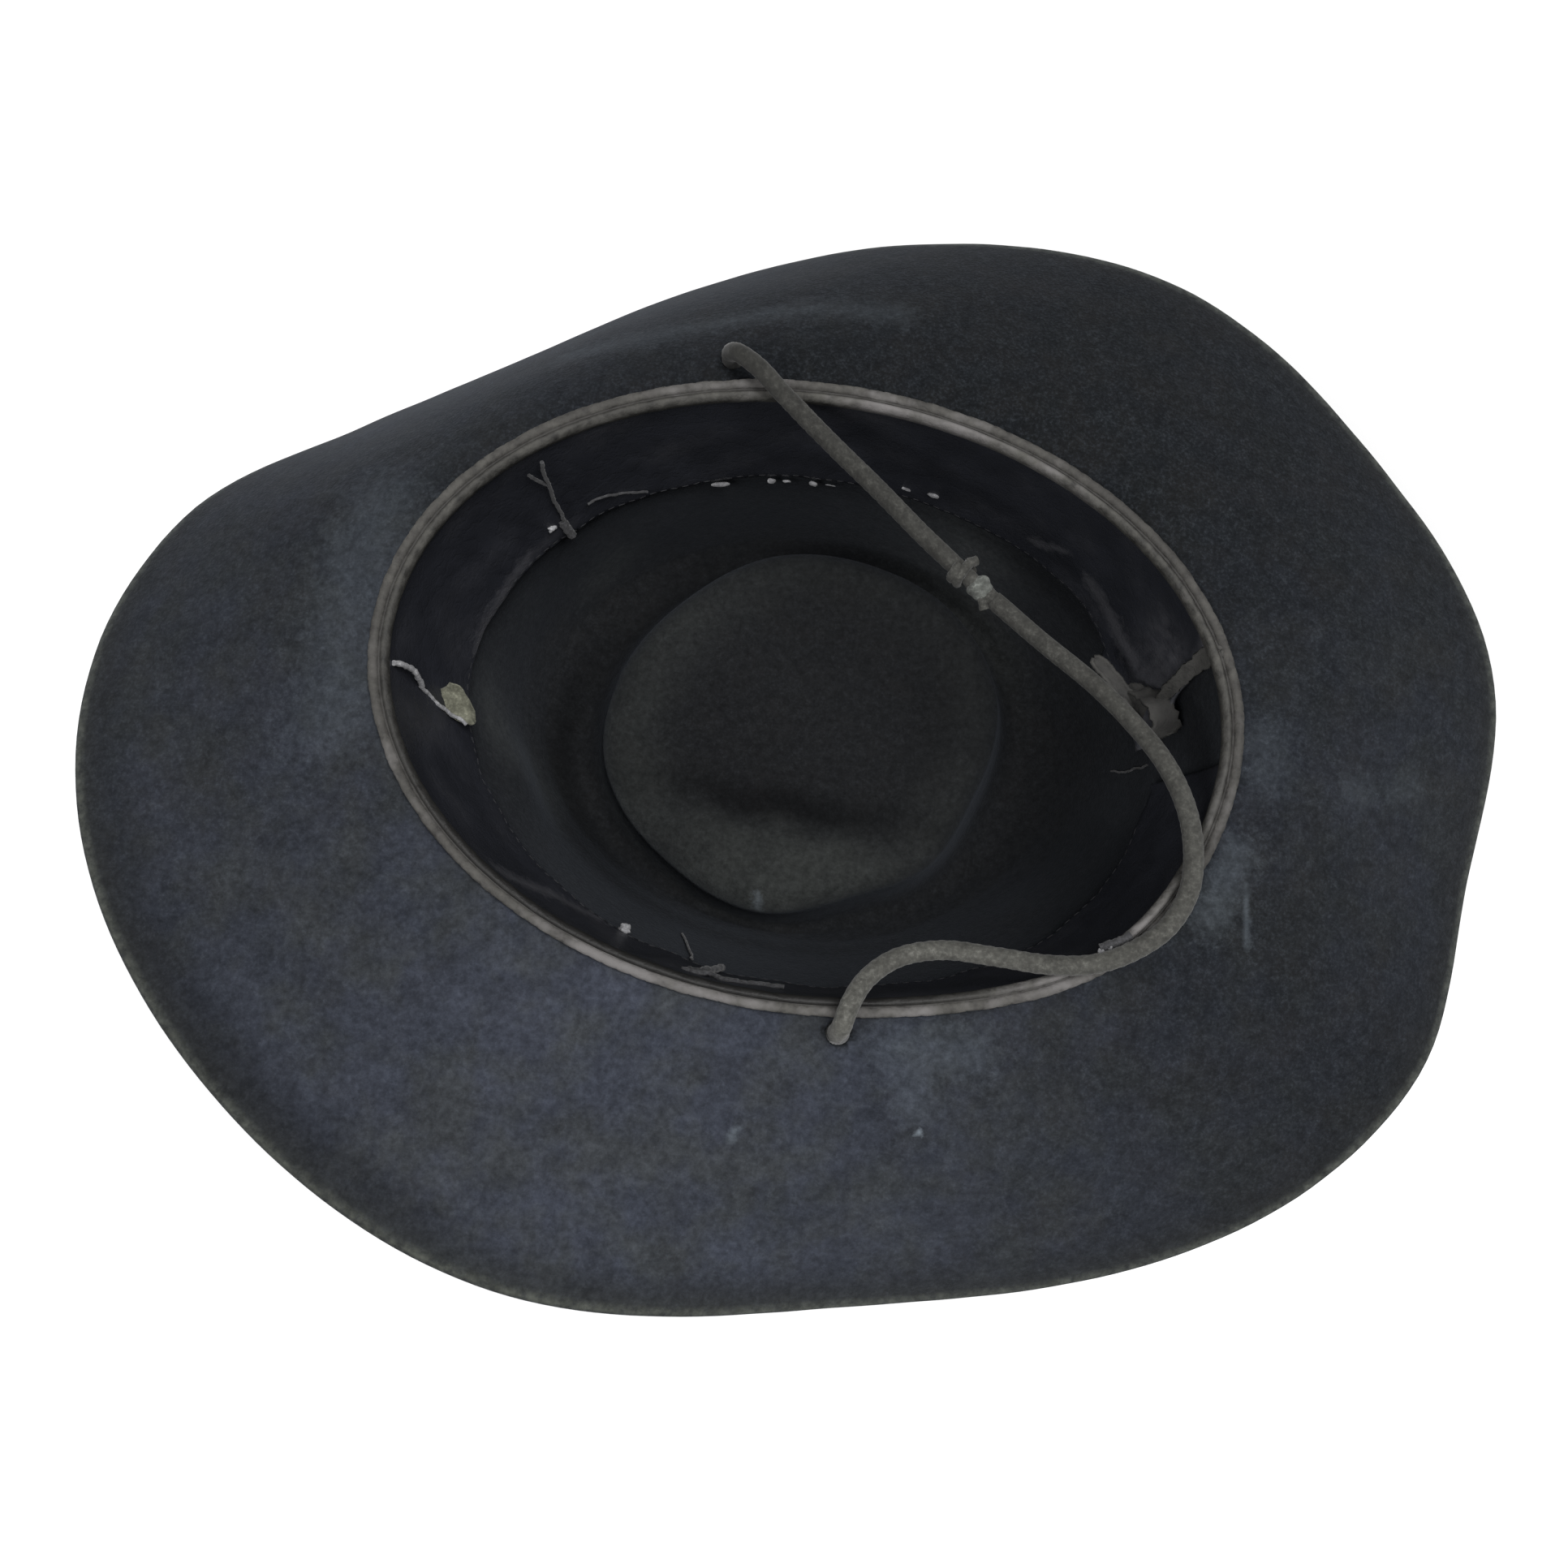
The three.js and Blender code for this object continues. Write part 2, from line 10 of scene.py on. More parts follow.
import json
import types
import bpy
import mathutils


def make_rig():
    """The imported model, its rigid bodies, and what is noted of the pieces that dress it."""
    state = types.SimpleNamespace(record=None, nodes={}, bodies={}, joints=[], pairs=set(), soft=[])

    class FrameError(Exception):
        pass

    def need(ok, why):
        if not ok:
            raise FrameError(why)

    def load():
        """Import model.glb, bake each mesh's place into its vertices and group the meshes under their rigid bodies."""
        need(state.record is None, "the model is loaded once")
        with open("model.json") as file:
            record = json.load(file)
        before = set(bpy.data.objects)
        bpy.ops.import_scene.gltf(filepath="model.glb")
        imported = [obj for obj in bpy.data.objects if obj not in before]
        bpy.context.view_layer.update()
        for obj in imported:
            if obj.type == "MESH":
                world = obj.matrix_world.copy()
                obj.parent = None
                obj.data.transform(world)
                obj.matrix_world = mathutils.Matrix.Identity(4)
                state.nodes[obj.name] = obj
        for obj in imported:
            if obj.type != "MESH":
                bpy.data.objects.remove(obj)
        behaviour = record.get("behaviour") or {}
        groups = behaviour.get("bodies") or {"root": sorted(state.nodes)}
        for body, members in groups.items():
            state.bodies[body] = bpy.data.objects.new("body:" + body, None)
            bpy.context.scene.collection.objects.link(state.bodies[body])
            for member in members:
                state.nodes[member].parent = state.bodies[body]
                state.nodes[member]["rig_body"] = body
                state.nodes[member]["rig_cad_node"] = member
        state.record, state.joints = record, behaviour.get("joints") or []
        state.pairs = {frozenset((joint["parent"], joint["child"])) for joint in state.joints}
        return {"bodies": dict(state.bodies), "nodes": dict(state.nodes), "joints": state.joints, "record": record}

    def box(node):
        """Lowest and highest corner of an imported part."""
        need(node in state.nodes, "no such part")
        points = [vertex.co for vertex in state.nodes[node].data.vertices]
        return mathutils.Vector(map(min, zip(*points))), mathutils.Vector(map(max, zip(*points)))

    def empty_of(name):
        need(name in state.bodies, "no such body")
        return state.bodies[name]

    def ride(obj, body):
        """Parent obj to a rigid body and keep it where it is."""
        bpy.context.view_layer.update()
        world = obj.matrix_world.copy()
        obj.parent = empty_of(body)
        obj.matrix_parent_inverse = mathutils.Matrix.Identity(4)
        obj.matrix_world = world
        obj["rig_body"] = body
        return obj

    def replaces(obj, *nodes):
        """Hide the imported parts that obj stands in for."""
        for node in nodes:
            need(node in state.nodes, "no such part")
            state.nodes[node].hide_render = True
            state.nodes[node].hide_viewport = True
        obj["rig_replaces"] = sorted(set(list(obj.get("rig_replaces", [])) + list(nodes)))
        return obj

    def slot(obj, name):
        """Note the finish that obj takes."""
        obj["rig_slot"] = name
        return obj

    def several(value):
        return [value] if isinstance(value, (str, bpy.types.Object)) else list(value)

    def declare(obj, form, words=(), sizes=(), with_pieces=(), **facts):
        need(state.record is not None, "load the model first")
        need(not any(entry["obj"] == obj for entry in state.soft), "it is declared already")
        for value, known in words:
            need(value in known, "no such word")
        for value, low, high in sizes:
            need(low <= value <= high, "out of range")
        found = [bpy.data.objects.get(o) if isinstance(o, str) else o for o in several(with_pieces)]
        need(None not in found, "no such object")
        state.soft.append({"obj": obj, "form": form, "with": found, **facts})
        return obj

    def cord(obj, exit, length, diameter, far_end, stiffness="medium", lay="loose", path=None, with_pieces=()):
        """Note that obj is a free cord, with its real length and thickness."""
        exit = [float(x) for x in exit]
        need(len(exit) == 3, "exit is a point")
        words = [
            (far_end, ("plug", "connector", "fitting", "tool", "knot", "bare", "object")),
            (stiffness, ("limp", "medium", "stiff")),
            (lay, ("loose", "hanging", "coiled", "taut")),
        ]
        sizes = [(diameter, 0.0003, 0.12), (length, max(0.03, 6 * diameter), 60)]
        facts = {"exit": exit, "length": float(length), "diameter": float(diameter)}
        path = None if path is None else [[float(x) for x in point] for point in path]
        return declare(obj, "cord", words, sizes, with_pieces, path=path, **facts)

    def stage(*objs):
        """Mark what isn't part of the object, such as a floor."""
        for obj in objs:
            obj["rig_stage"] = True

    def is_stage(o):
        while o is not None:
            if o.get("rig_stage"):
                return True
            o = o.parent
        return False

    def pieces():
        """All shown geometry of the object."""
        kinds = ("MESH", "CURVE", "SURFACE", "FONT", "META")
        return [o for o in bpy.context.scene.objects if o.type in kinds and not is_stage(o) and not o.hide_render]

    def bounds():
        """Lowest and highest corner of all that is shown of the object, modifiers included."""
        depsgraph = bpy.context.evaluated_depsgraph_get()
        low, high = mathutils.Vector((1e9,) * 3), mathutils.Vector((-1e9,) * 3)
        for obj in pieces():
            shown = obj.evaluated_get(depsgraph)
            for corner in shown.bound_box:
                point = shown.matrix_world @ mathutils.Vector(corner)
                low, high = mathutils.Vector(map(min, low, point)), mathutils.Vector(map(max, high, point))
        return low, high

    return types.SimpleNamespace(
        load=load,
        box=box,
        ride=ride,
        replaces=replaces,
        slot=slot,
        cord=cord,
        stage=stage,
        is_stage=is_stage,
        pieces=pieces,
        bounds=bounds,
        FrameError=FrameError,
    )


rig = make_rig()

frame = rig.load()
CAD_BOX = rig.bounds()

import json
import logging
import math
from dataclasses import dataclass, field
from enum import Enum
from typing import Any, Callable, NamedTuple, Sequence

import bmesh
import bpy
from mathutils import Matrix, Vector, noise

log = logging.getLogger("hat")

Colour = tuple[float, float, float]
Place = Callable[[int, int], Vector]
Skin = Callable[[float, float], float]
BODY = "root"
MERGE = 1e-3  # points nearer than this become one
SEED = 3  # for the vector noise, so that every run gives the same threads


class Slot(Enum):
    """The record's material slots."""

    FELT = "felt"
    REED = "reed"
    BAND = "band_leather"
    CORD = "cord"


# Smooth tables and small sums


def bump(distance: float, spread: float) -> float:
    """A bell that is 1 at no distance and fades over the spread."""
    return math.exp(-((distance / spread) ** 2))


def turn_between(start: float, end: float) -> float:
    """The turn from one bearing to another, from -180 to 180."""
    return (end - start + 180) % 360 - 180


def blend(start: float, end: float, share: float) -> float:
    """The value a share of the way from start to end."""
    return start + (end - start) * share


def ease(value: float, low: float, high: float) -> float:
    """Rises smoothly from 0 at low to 1 at high, or falls where low is the larger."""
    share = min(1.0, max(0.0, (value - low) / (high - low)))
    return share * share * (3 - 2 * share)


def hermite(start: Any, end: Any, slope_in: Any, slope_out: Any, t: float) -> Any:
    """A smooth way from start to end, numbers or vectors, with the slope at each."""
    return (
        (2 * t**3 - 3 * t**2 + 1) * start
        + (t**3 - 2 * t**2 + t) * slope_in
        + (3 * t**2 - 2 * t**3) * end
        + (t**3 - t**2) * slope_out
    )


def cubic(places: Sequence[float], values: Sequence[float], at: float) -> float:
    """A cubic through four values, read between the two in the middle.

    Args:
        places: where the four values stand.
        values: the four values.
        at: the place to read.

    Returns:
        The value there.
    """
    span = places[2] - places[1]
    t = (at - places[1]) / span
    slope_in = (values[2] - values[0]) / (places[2] - places[0]) * span
    slope_out = (values[3] - values[1]) / (places[3] - places[1]) * span
    return hermite(values[1], values[2], slope_in, slope_out, t)


def read_round(table: Sequence[Any], bearing: float, column: str) -> float:
    """Reads a table that closes round the hat.

    Args:
        table: rows that have a bearing.
        bearing: the bearing to read.
        column: the column's name.

    Returns:
        The smooth value at the bearing.
    """
    count = len(table)
    start = min(range(count), key=lambda i: (bearing - table[i].bearing) % 360)
    rows = [table[(start + step) % count] for step in (-1, 0, 1, 2)]
    here = rows[1].bearing
    places = [turn_between(here, rows[0].bearing), 0.0, turn_between(here, rows[2].bearing), 0.0]
    places[3] = places[2] + turn_between(rows[2].bearing, rows[3].bearing)
    return cubic(places, [getattr(row, column) for row in rows], (bearing - here) % 360)


def read_down(table: Sequence[Any], key: str, column: str, at: float, beyond: float) -> float:
    """Reads a table with two ends, whose key rises from row to row.

    Args:
        table: the rows.
        key: the column that says where a row stands.
        column: the column to read.
        at: the place to read.
        beyond: how far past each end the end's value is repeated.

    Returns:
        The smooth value there.
    """
    last = len(table) - 1
    found = next((i for i, row in enumerate(table) if getattr(row, key) > at), last)
    start = max(found, 1) - 1
    rows = [table[min(max(start + step, 0), last)] for step in (-1, 0, 1, 2)]
    places = [float(getattr(row, key)) for row in rows]
    if start == 0:
        places[0] = places[1] - beyond
    if start + 2 > last:
        places[3] = places[2] + beyond
    return cubic(places, [getattr(row, column) for row in rows], at)


def off_line(place: Vector, start: Vector, end: Vector) -> float:
    """How far a place lies from the line between two others."""
    along = end - start
    share = min(1.0, max(0.0, (place - start).dot(along) / along.length_squared))
    return (place - start - along * share).length


def curve_through(points: Sequence[Vector], per_span: int) -> list[Vector]:
    """A centripetal curve through points.

    Args:
        points: the points to pass, two or more.
        per_span: steps between neighbouring points.

    Returns:
        The points of the curve, both ends included.
    """
    ends = [2 * points[0] - points[1], *points, 2 * points[-1] - points[-2]]
    line = [points[0].copy()]
    for p0, p1, p2, p3 in zip(ends, ends[1:], ends[2:], ends[3:]):
        d0, d1, d2 = (max((b - a).length, 1e-4) ** 0.5 for a, b in ((p0, p1), (p1, p2), (p2, p3)))
        slope_in = ((p1 - p0) / d0 - (p2 - p0) / (d0 + d1) + (p2 - p1) / d1) * d1
        slope_out = ((p2 - p1) / d1 - (p3 - p1) / (d1 + d2) + (p3 - p2) / d2) * d1
        for k in range(1, per_span + 1):
            line.append(hermite(p1, p2, slope_in, slope_out, k / per_span))
    return line


def length_of(line: Sequence[Vector]) -> float:
    """The length of a line of points."""
    return sum((b - a).length for a, b in zip(line, line[1:]))


def even_steps(line: Sequence[Vector], step: float) -> list[Vector]:
    """A line's points again, moved so that they stand about one step apart.

    Args:
        line: the line's points.
        step: the wished distance.

    Returns:
        The new points, both ends kept.
    """
    count = max(2, round(length_of(line) / step))
    spacing = length_of(line) / count
    made = [line[0].copy()]
    walked = 0.0
    for a, b in zip(line, line[1:]):
        span = (b - a).length
        while span > 0 and len(made) < count and walked + span >= spacing * len(made):
            made.append(a.lerp(b, (spacing * len(made) - walked) / span))
        walked += span
    return [*made, line[-1].copy()]


# The hat's form


class BrimSection(NamedTuple):
    """A section of the brim: its edge's reach and droop, and how late the felt turns down."""

    bearing: float
    reach: float
    droop: float
    roll: float


BRIM_SECTIONS = (
    BrimSection(-6, 71, 24, 1.6),
    BrimSection(13, 76, 21, 1.6),
    BrimSection(33, 72.5, 22, 1.6),
    BrimSection(60, 73, 22, 1.6),
    BrimSection(86, 65, 34, 1.8),
    BrimSection(110, 56, 49, 1.8),
    BrimSection(133, 50, 55, 1.7),
    BrimSection(153, 56, 49, 1.6),
    BrimSection(172, 72, 29, 1.6),
    BrimSection(193, 78, 10, 1.6),
    BrimSection(225, 78, 0, 1.6),
    BrimSection(253, 79, 3, 1.6),
    BrimSection(283, 71, 23, 1.8),
    BrimSection(310, 72, 24, 1.6),
    BrimSection(337, 76, 18, 1.6),
)


class WallRing(NamedTuple):
    """A ring of the crown's inner wall."""

    depth: float
    half_length: float
    half_width: float
    shift_x: float
    shift_y: float


CROWN_WALL = (
    WallRing(4.5, 103, 75.3, 0, 0),
    WallRing(25, 100.5, 74.6, 0.3, 0),
    WallRing(50, 96, 73, 1, 1),
    WallRing(75, 91, 69.8, 0.5, 4),
    WallRing(92, 87, 67.5, -0.3, 6.5),
    WallRing(102, 82.5, 65, -0.7, 8),
)


class Dent(NamedTuple):
    """A soft dent that is pushed into the crown from outside."""

    bearing: float
    depth: float
    push: float
    spread: float
    tall: float


WALL_DENTS = (Dent(204, 74, 4, 13, 15), Dent(318, 80, 3, 16, 18), Dent(62, 72, 2.5, 18, 20))


class TipReach(NamedTuple):
    """How far the tip's rim lies from its middle."""

    bearing: float
    reach: float


TIP_OUTLINE = (
    TipReach(17, 61),
    TipReach(47, 59.5),
    TipReach(76, 56),
    TipReach(106, 55),
    TipReach(140, 53.5),
    TipReach(175, 58),
    TipReach(200, 61),
    TipReach(235, 58),
    TipReach(266, 58.5),
    TipReach(295, 54.5),
    TipReach(321, 57.5),
    TipReach(345, 56.5),
)


class CrestRow(NamedTuple):
    """A row of the crest's floor, from the wall's foot at share 1 to the tip's rim at 0."""

    share: float
    depth: float


CREST_ROWS = (
    CrestRow(0.8, 105.8),
    CrestRow(0.62, 108.2),
    CrestRow(0.38, 108.2),
    CrestRow(0.2, 104.5),
    CrestRow(0.08, 96),
)


class TipDrop(NamedTuple):
    """How far the tip lies below its highest level, at a scale of its outline."""

    scale: float
    drop: float


TIP_DROPS = (
    TipDrop(0, 0.5),
    TipDrop(0.2, 0.5),
    TipDrop(0.42, 0.3),
    TipDrop(0.62, 0),
    TipDrop(0.8, 0),
    TipDrop(0.94, 0.6),
    TipDrop(1, 3.2),
)


@dataclass(frozen=True)
class HatForm:
    """The hat's main surfaces, from the same sizes as its solids."""

    half_length: float = 104.5
    half_width: float = 76.8
    saddle: float = 1.0
    corner_bearing: float = -42.0
    corner_bulge: float = 4.0
    corner_spread: float = 20.0
    break_radius: float = 4.0
    break_out: float = 2.5
    break_depth: float = 4.5
    felt: float = 2.5
    tip_x: float = -1.0
    tip_y: float = 8.5
    tip_depth: float = 85.0
    crease_y: float = -29.0
    crease_sink: float = 3.5
    crease_width: float = 5.0
    crease_half: float = 40.0
    crease_lip: float = 2.5
    crest_flat: float = 110.5
    far_hole: tuple[float, float] = (-31.5, 81.5)
    near_hole: tuple[float, float] = (21.2, -79.8)
    brim_steps: int = 34
    break_steps: int = 8
    wall_steps: int = 30
    crest_steps: int = 4
    tip_steps: int = 26

    def ellipse_point(self, bearing: float, length: float, width: float) -> tuple[Vector, Vector]:
        """A point on an ellipse and the way out of it."""
        turn = math.radians(bearing)
        way = Vector((math.cos(turn) / length, math.sin(turn) / width, 0)).normalized()
        return Vector((length * math.cos(turn), width * math.sin(turn), 0)), way

    def corner(self, bearing: float) -> float:
        """How far the opening's near back corner bulges at a bearing."""
        return self.corner_bulge * bump(turn_between(self.corner_bearing, bearing), self.corner_spread)

    def near_mouth(self, bearing: float, out: float, height: float) -> Vector:
        """A point so far out from the edge of the opening and so high above it."""
        edge, way = self.ellipse_point(bearing, self.half_length, self.half_width)
        place = edge + way * (out + self.corner(bearing))
        place.z = height + self.saddle * math.cos(math.radians(2 * bearing))
        return place

    def brim_line(self, bearing: float, edge_inset: float) -> list[Vector]:
        """The brim's upper face from its edge in to the break.

        Args:
            bearing: where round the hat.
            edge_inset: how far inside the edge the line starts.

        Returns:
            Points from the edge inwards.
        """
        reach = read_round(BRIM_SECTIONS, bearing, "reach")
        droop = read_round(BRIM_SECTIONS, bearing, "droop")
        roll = read_round(BRIM_SECTIONS, bearing, "roll")
        top = self.break_radius - self.break_depth
        line = []
        for step in range(self.brim_steps, 0, -1):
            share = step / self.brim_steps * (1 - edge_inset / reach)
            out = blend(self.break_out, reach, share)
            line.append(self.near_mouth(bearing, out, top - droop * share**roll))
        return line

    def break_point(self, bearing: float, angle: float) -> Vector:
        """A point on the bend into the crown, at 90 on the brim and at 180 on the wall."""
        out = self.break_out + self.break_radius * math.cos(math.radians(angle))
        height = self.break_radius * math.sin(math.radians(angle)) - self.break_depth
        return self.near_mouth(bearing, out, height)

    def wall_size(self, depth: float, column: str) -> float:
        """A size of the crown's wall at a depth."""
        return read_down(CROWN_WALL, "depth", column, depth, 20)

    def wall_point(self, bearing: float, depth: float, inward: float = 0.0) -> Vector:
        """A point on the crown's inner wall, or so far inward from it."""
        length, width = self.wall_size(depth, "half_length"), self.wall_size(depth, "half_width")
        ring, way = self.ellipse_point(bearing, length, width)
        dirt_and_shade = max(0.0, 1 - depth / self.tip_depth)
        out = dirt_and_shade * self.corner(bearing)
        for dent in WALL_DENTS:
            along = bump(turn_between(dent.bearing, bearing), dent.spread)
            out -= dent.push * along * bump(depth - dent.depth, dent.tall)
        place = ring + way * (out - inward)
        lift = dirt_and_shade * self.saddle * math.cos(math.radians(2 * bearing))
        shift = Vector((self.wall_size(depth, "shift_x"), self.wall_size(depth, "shift_y"), lift - depth))
        return place + shift

    def tip_point(self, bearing: float, scale: float) -> Vector:
        """A point on the tip, at a scale of its outline."""
        reach = scale * read_round(TIP_OUTLINE, bearing, "reach")
        turn = math.radians(bearing)
        x, y = reach * math.cos(turn), reach * math.sin(turn)
        height = -self.tip_depth - read_down(TIP_DROPS, "scale", "drop", scale, 0.2)
        beyond = self.crease_y - y
        along = bump(x, self.crease_half)
        height -= self.crease_sink * along * bump(beyond, self.crease_width)
        height += self.crease_lip * along * ease(beyond, 0, 3 * self.crease_width)
        return Vector((self.tip_x + x, self.tip_y + y, height))

    def crest_line(self, bearing: float) -> list[Vector]:
        """The floor of the crest, from the wall's foot to the tip's rim, both left out."""
        foot = self.wall_point(bearing, CROWN_WALL[-1].depth)
        rim = self.tip_point(bearing, 1)
        points = [self.wall_point(bearing, CROWN_WALL[-1].depth - 6), foot]
        for row in CREST_ROWS:
            place = Vector((rim.x, rim.y, 0)).lerp(Vector((foot.x, foot.y, 0)), row.share)
            place.z = -row.depth
            points.append(place)
        points += [rim, self.tip_point(bearing, 0.93)]
        return curve_through(points, self.crest_steps)[self.crest_steps + 1 : -self.crest_steps - 1]

    def felt_line(self, bearing: float, edge_inset: float) -> list[Vector]:
        """The felt's upper face along one bearing, from the brim's edge to the tip's middle."""
        line = self.brim_line(bearing, edge_inset)
        for step in range(self.break_steps + 1):
            line.append(self.break_point(bearing, 90 + 90 * step / self.break_steps))
        foot = CROWN_WALL[-1].depth
        for step in range(1, self.wall_steps + 1):
            line.append(self.wall_point(bearing, blend(self.break_depth, foot, step / self.wall_steps)))
        line += self.crest_line(bearing)
        line += [self.tip_point(bearing, 1 - step / self.tip_steps) for step in range(self.tip_steps + 1)]
        return line


@dataclass(frozen=True)
class MouthFrame:
    """Where the middle of the head opening stands in the frame, in metres."""

    centre: Vector

    @classmethod
    def from_reed(cls, form: HatForm) -> "MouthFrame":
        """Finds the opening from the box of the reed that runs round it.

        Args:
            form: the hat's form, for the size of the opening.

        Returns:
            The opening's place.
        """
        low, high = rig.box("sweatband_reed")
        reach = ReedBead.out + ReedBead.radius
        top = ReedBead.height + ReedBead.radius * math.sin(math.radians(60)) + form.saddle
        x = low.x + (form.half_length + reach) / 1000
        y = high.y - (form.half_width + reach) / 1000
        return cls(Vector((x, y, high.z - top / 1000)))

    @property
    def matrix(self) -> Matrix:
        """Turns millimetres from the opening into the frame's metres."""
        return Matrix.Translation(self.centre) @ Matrix.Scale(0.001, 4)

    def metres(self, place: Sequence[float]) -> Vector:
        """One place in the frame's metres."""
        return self.matrix @ Vector(place)


# Shader nodes


class Kind(Enum):
    """The kinds of socket that a node group has."""

    COLOUR = "NodeSocketColor"
    VALUE = "NodeSocketFloat"
    VECTOR = "NodeSocketVector"


class Nodes:
    """Adds nodes to one tree and joins them."""

    def __init__(self, tree: bpy.types.NodeTree) -> None:
        """Works in an existing tree."""
        self.tree = tree

    def add(self, kind: str, inputs: dict[Any, Any] | None = None, **settings: Any) -> bpy.types.Node:
        """Adds one node.

        Args:
            kind: the node's type, without the word ShaderNode.
            inputs: socket names or numbers, each with a value or a socket to link.
            settings: the node's own properties.

        Returns:
            The node.
        """
        node = self.tree.nodes.new("ShaderNode" + kind)
        node.location = (len(self.tree.nodes) * 190, -(len(self.tree.nodes) % 5) * 170)
        for name, value in settings.items():
            setattr(node, name, value)
        self.feed(node, inputs or {})
        return node

    def feed(self, node: bpy.types.Node, inputs: dict[Any, Any]) -> None:
        """Gives a node its inputs.

        Args:
            node: the node.
            inputs: socket names or numbers, each with a value or a socket to link.
        """
        for key, value in inputs.items():
            if isinstance(value, bpy.types.NodeSocket):
                self.tree.links.new(value, node.inputs[key])
            elif node.inputs[key].type == "RGBA":
                node.inputs[key].default_value = (*value, 1.0)
            else:
                node.inputs[key].default_value = value

    def math(self, operation: str, first: Any, second: Any = 0.0) -> bpy.types.NodeSocket:
        """A sum of two values."""
        return self.add("Math", {0: first, 1: second}, operation=operation).outputs[0]

    def mean(self, first: Any, second: Any) -> bpy.types.NodeSocket:
        """Half of the sum of two values."""
        return self.math("MULTIPLY", self.math("ADD", first, second), 0.5)

    def grey(self, value: Any) -> bpy.types.NodeSocket:
        """A value as a grey."""
        return self.add("CombineColor", {0: value, 1: value, 2: value}).outputs[0]

    def vector(self, operation: str, first: Any, second: Any) -> bpy.types.Node:
        """A vector sum."""
        return self.add("VectorMath", {0: first, 1: second}, operation=operation)

    def remap(self, value: Any, low: float, high: float, start: float = 0.0, end: float = 1.0) -> Any:
        """A value moved from one range to another and held inside it."""
        inputs = {"Value": value, "From Min": low, "From Max": high, "To Min": start, "To Max": end}
        return self.add("MapRange", inputs).outputs["Result"]

    def mix(self, share: Any, first: Any, second: Any, blend_type: str = "MIX") -> Any:
        """A mix of two colours."""
        inputs = {0: share, 6: first, 7: second}
        return self.add("Mix", inputs, data_type="RGBA", blend_type=blend_type).outputs[2]

    def noise(self, vector: Any, wavelength: float, detail: float = 2.0, rough: float = 0.5) -> Any:
        """Noise whose features are about a wavelength across, in millimetres."""
        inputs = {"Vector": vector, "Scale": 1000 / wavelength, "Detail": detail, "Roughness": rough}
        return self.add("TexNoise", inputs).outputs["Fac"]

    def attribute(self, name: str) -> bpy.types.NodeSocket:
        """A piece's own attribute."""
        return self.add("Attribute", attribute_name=name).outputs["Fac"]

    def place(self) -> bpy.types.NodeSocket:
        """The place on the piece, in the frame's metres."""
        return self.add("TexCoord").outputs["Object"]

    def bump(self, height: Any, depth: float, strength: float) -> Any:
        """A normal from a height, with its depth in millimetres."""
        inputs = {"Height": height, "Distance": depth / 1000, "Strength": strength}
        return self.add("Bump", inputs).outputs["Normal"]

    def group(self, tree: bpy.types.NodeTree, inputs: dict[str, Any]) -> bpy.types.Node:
        """Places a node group, with its own values."""
        return self.add("Group", inputs, node_tree=tree)


class ShaderGroup:
    """A node group that is being made, with named inputs and outputs."""

    def __init__(self, name: str, inputs: dict[str, Kind], outputs: dict[str, Kind]) -> None:
        """Makes the group's tree and its sockets."""
        self.tree = bpy.data.node_groups.new(name, "ShaderNodeTree")
        for socket, kind in inputs.items():
            self.tree.interface.new_socket(socket, in_out="INPUT", socket_type=kind.value)
        for socket, kind in outputs.items():
            self.tree.interface.new_socket(socket, in_out="OUTPUT", socket_type=kind.value)
        self.nodes = Nodes(self.tree)
        self.given = self.tree.nodes.new("NodeGroupInput").outputs
        self.result = self.tree.nodes.new("NodeGroupOutput")

    def give(self, name: str, socket: bpy.types.NodeSocket) -> None:
        """Joins a socket to one of the group's outputs."""
        self.tree.links.new(socket, self.result.inputs[name])


def fibre_group() -> bpy.types.NodeTree:
    """Matted or spun fibre: a mottled colour, the height of its nap, and how much its pores let show.

    Returns:
        The group's tree.
    """
    inputs = {"Vector": Kind.VECTOR, "Deep": Kind.COLOUR, "Body": Kind.COLOUR}
    inputs |= {"Tint": Kind.COLOUR, "Fleck": Kind.COLOUR}
    outputs = {"Color": Kind.COLOUR, "Height": Kind.VALUE, "Open": Kind.VALUE}
    group = ShaderGroup("fibre", inputs, outputs)
    nodes, given = group.nodes, group.given
    cloud = nodes.remap(nodes.noise(given["Vector"], 24, 4.0, 0.6), 0.3, 0.7)
    hue = nodes.remap(nodes.noise(given["Vector"], 13, 4.0, 0.6), 0.42, 0.66)
    clump = nodes.remap(nodes.noise(given["Vector"], 3.2, 4.0, 0.65), 0.3, 0.7)
    fibre = nodes.noise(given["Vector"], 0.8, 3.0, 0.7)
    pores = nodes.remap(nodes.noise(given["Vector"], 1.7, 3.0, 0.65), 0.32, 0.62, 0.72, 1.12)
    base = nodes.mix(nodes.mean(cloud, clump), given["Deep"], given["Body"])
    base = nodes.mix(nodes.math("MULTIPLY", hue, 0.85), base, given["Tint"])
    fleck = nodes.remap(fibre, 0.46, 0.68)
    fleck = nodes.math("MULTIPLY", fleck, nodes.remap(clump, 0.0, 1.0, 0.35, 1.0))
    group.give("Color", nodes.mix(fleck, base, given["Fleck"]))
    group.give("Height", nodes.mean(fibre, nodes.mean(clump, pores)))
    group.give("Open", nodes.math("MULTIPLY", pores, nodes.remap(clump, 0.0, 1.0, 0.82, 1.18)))
    return group.tree


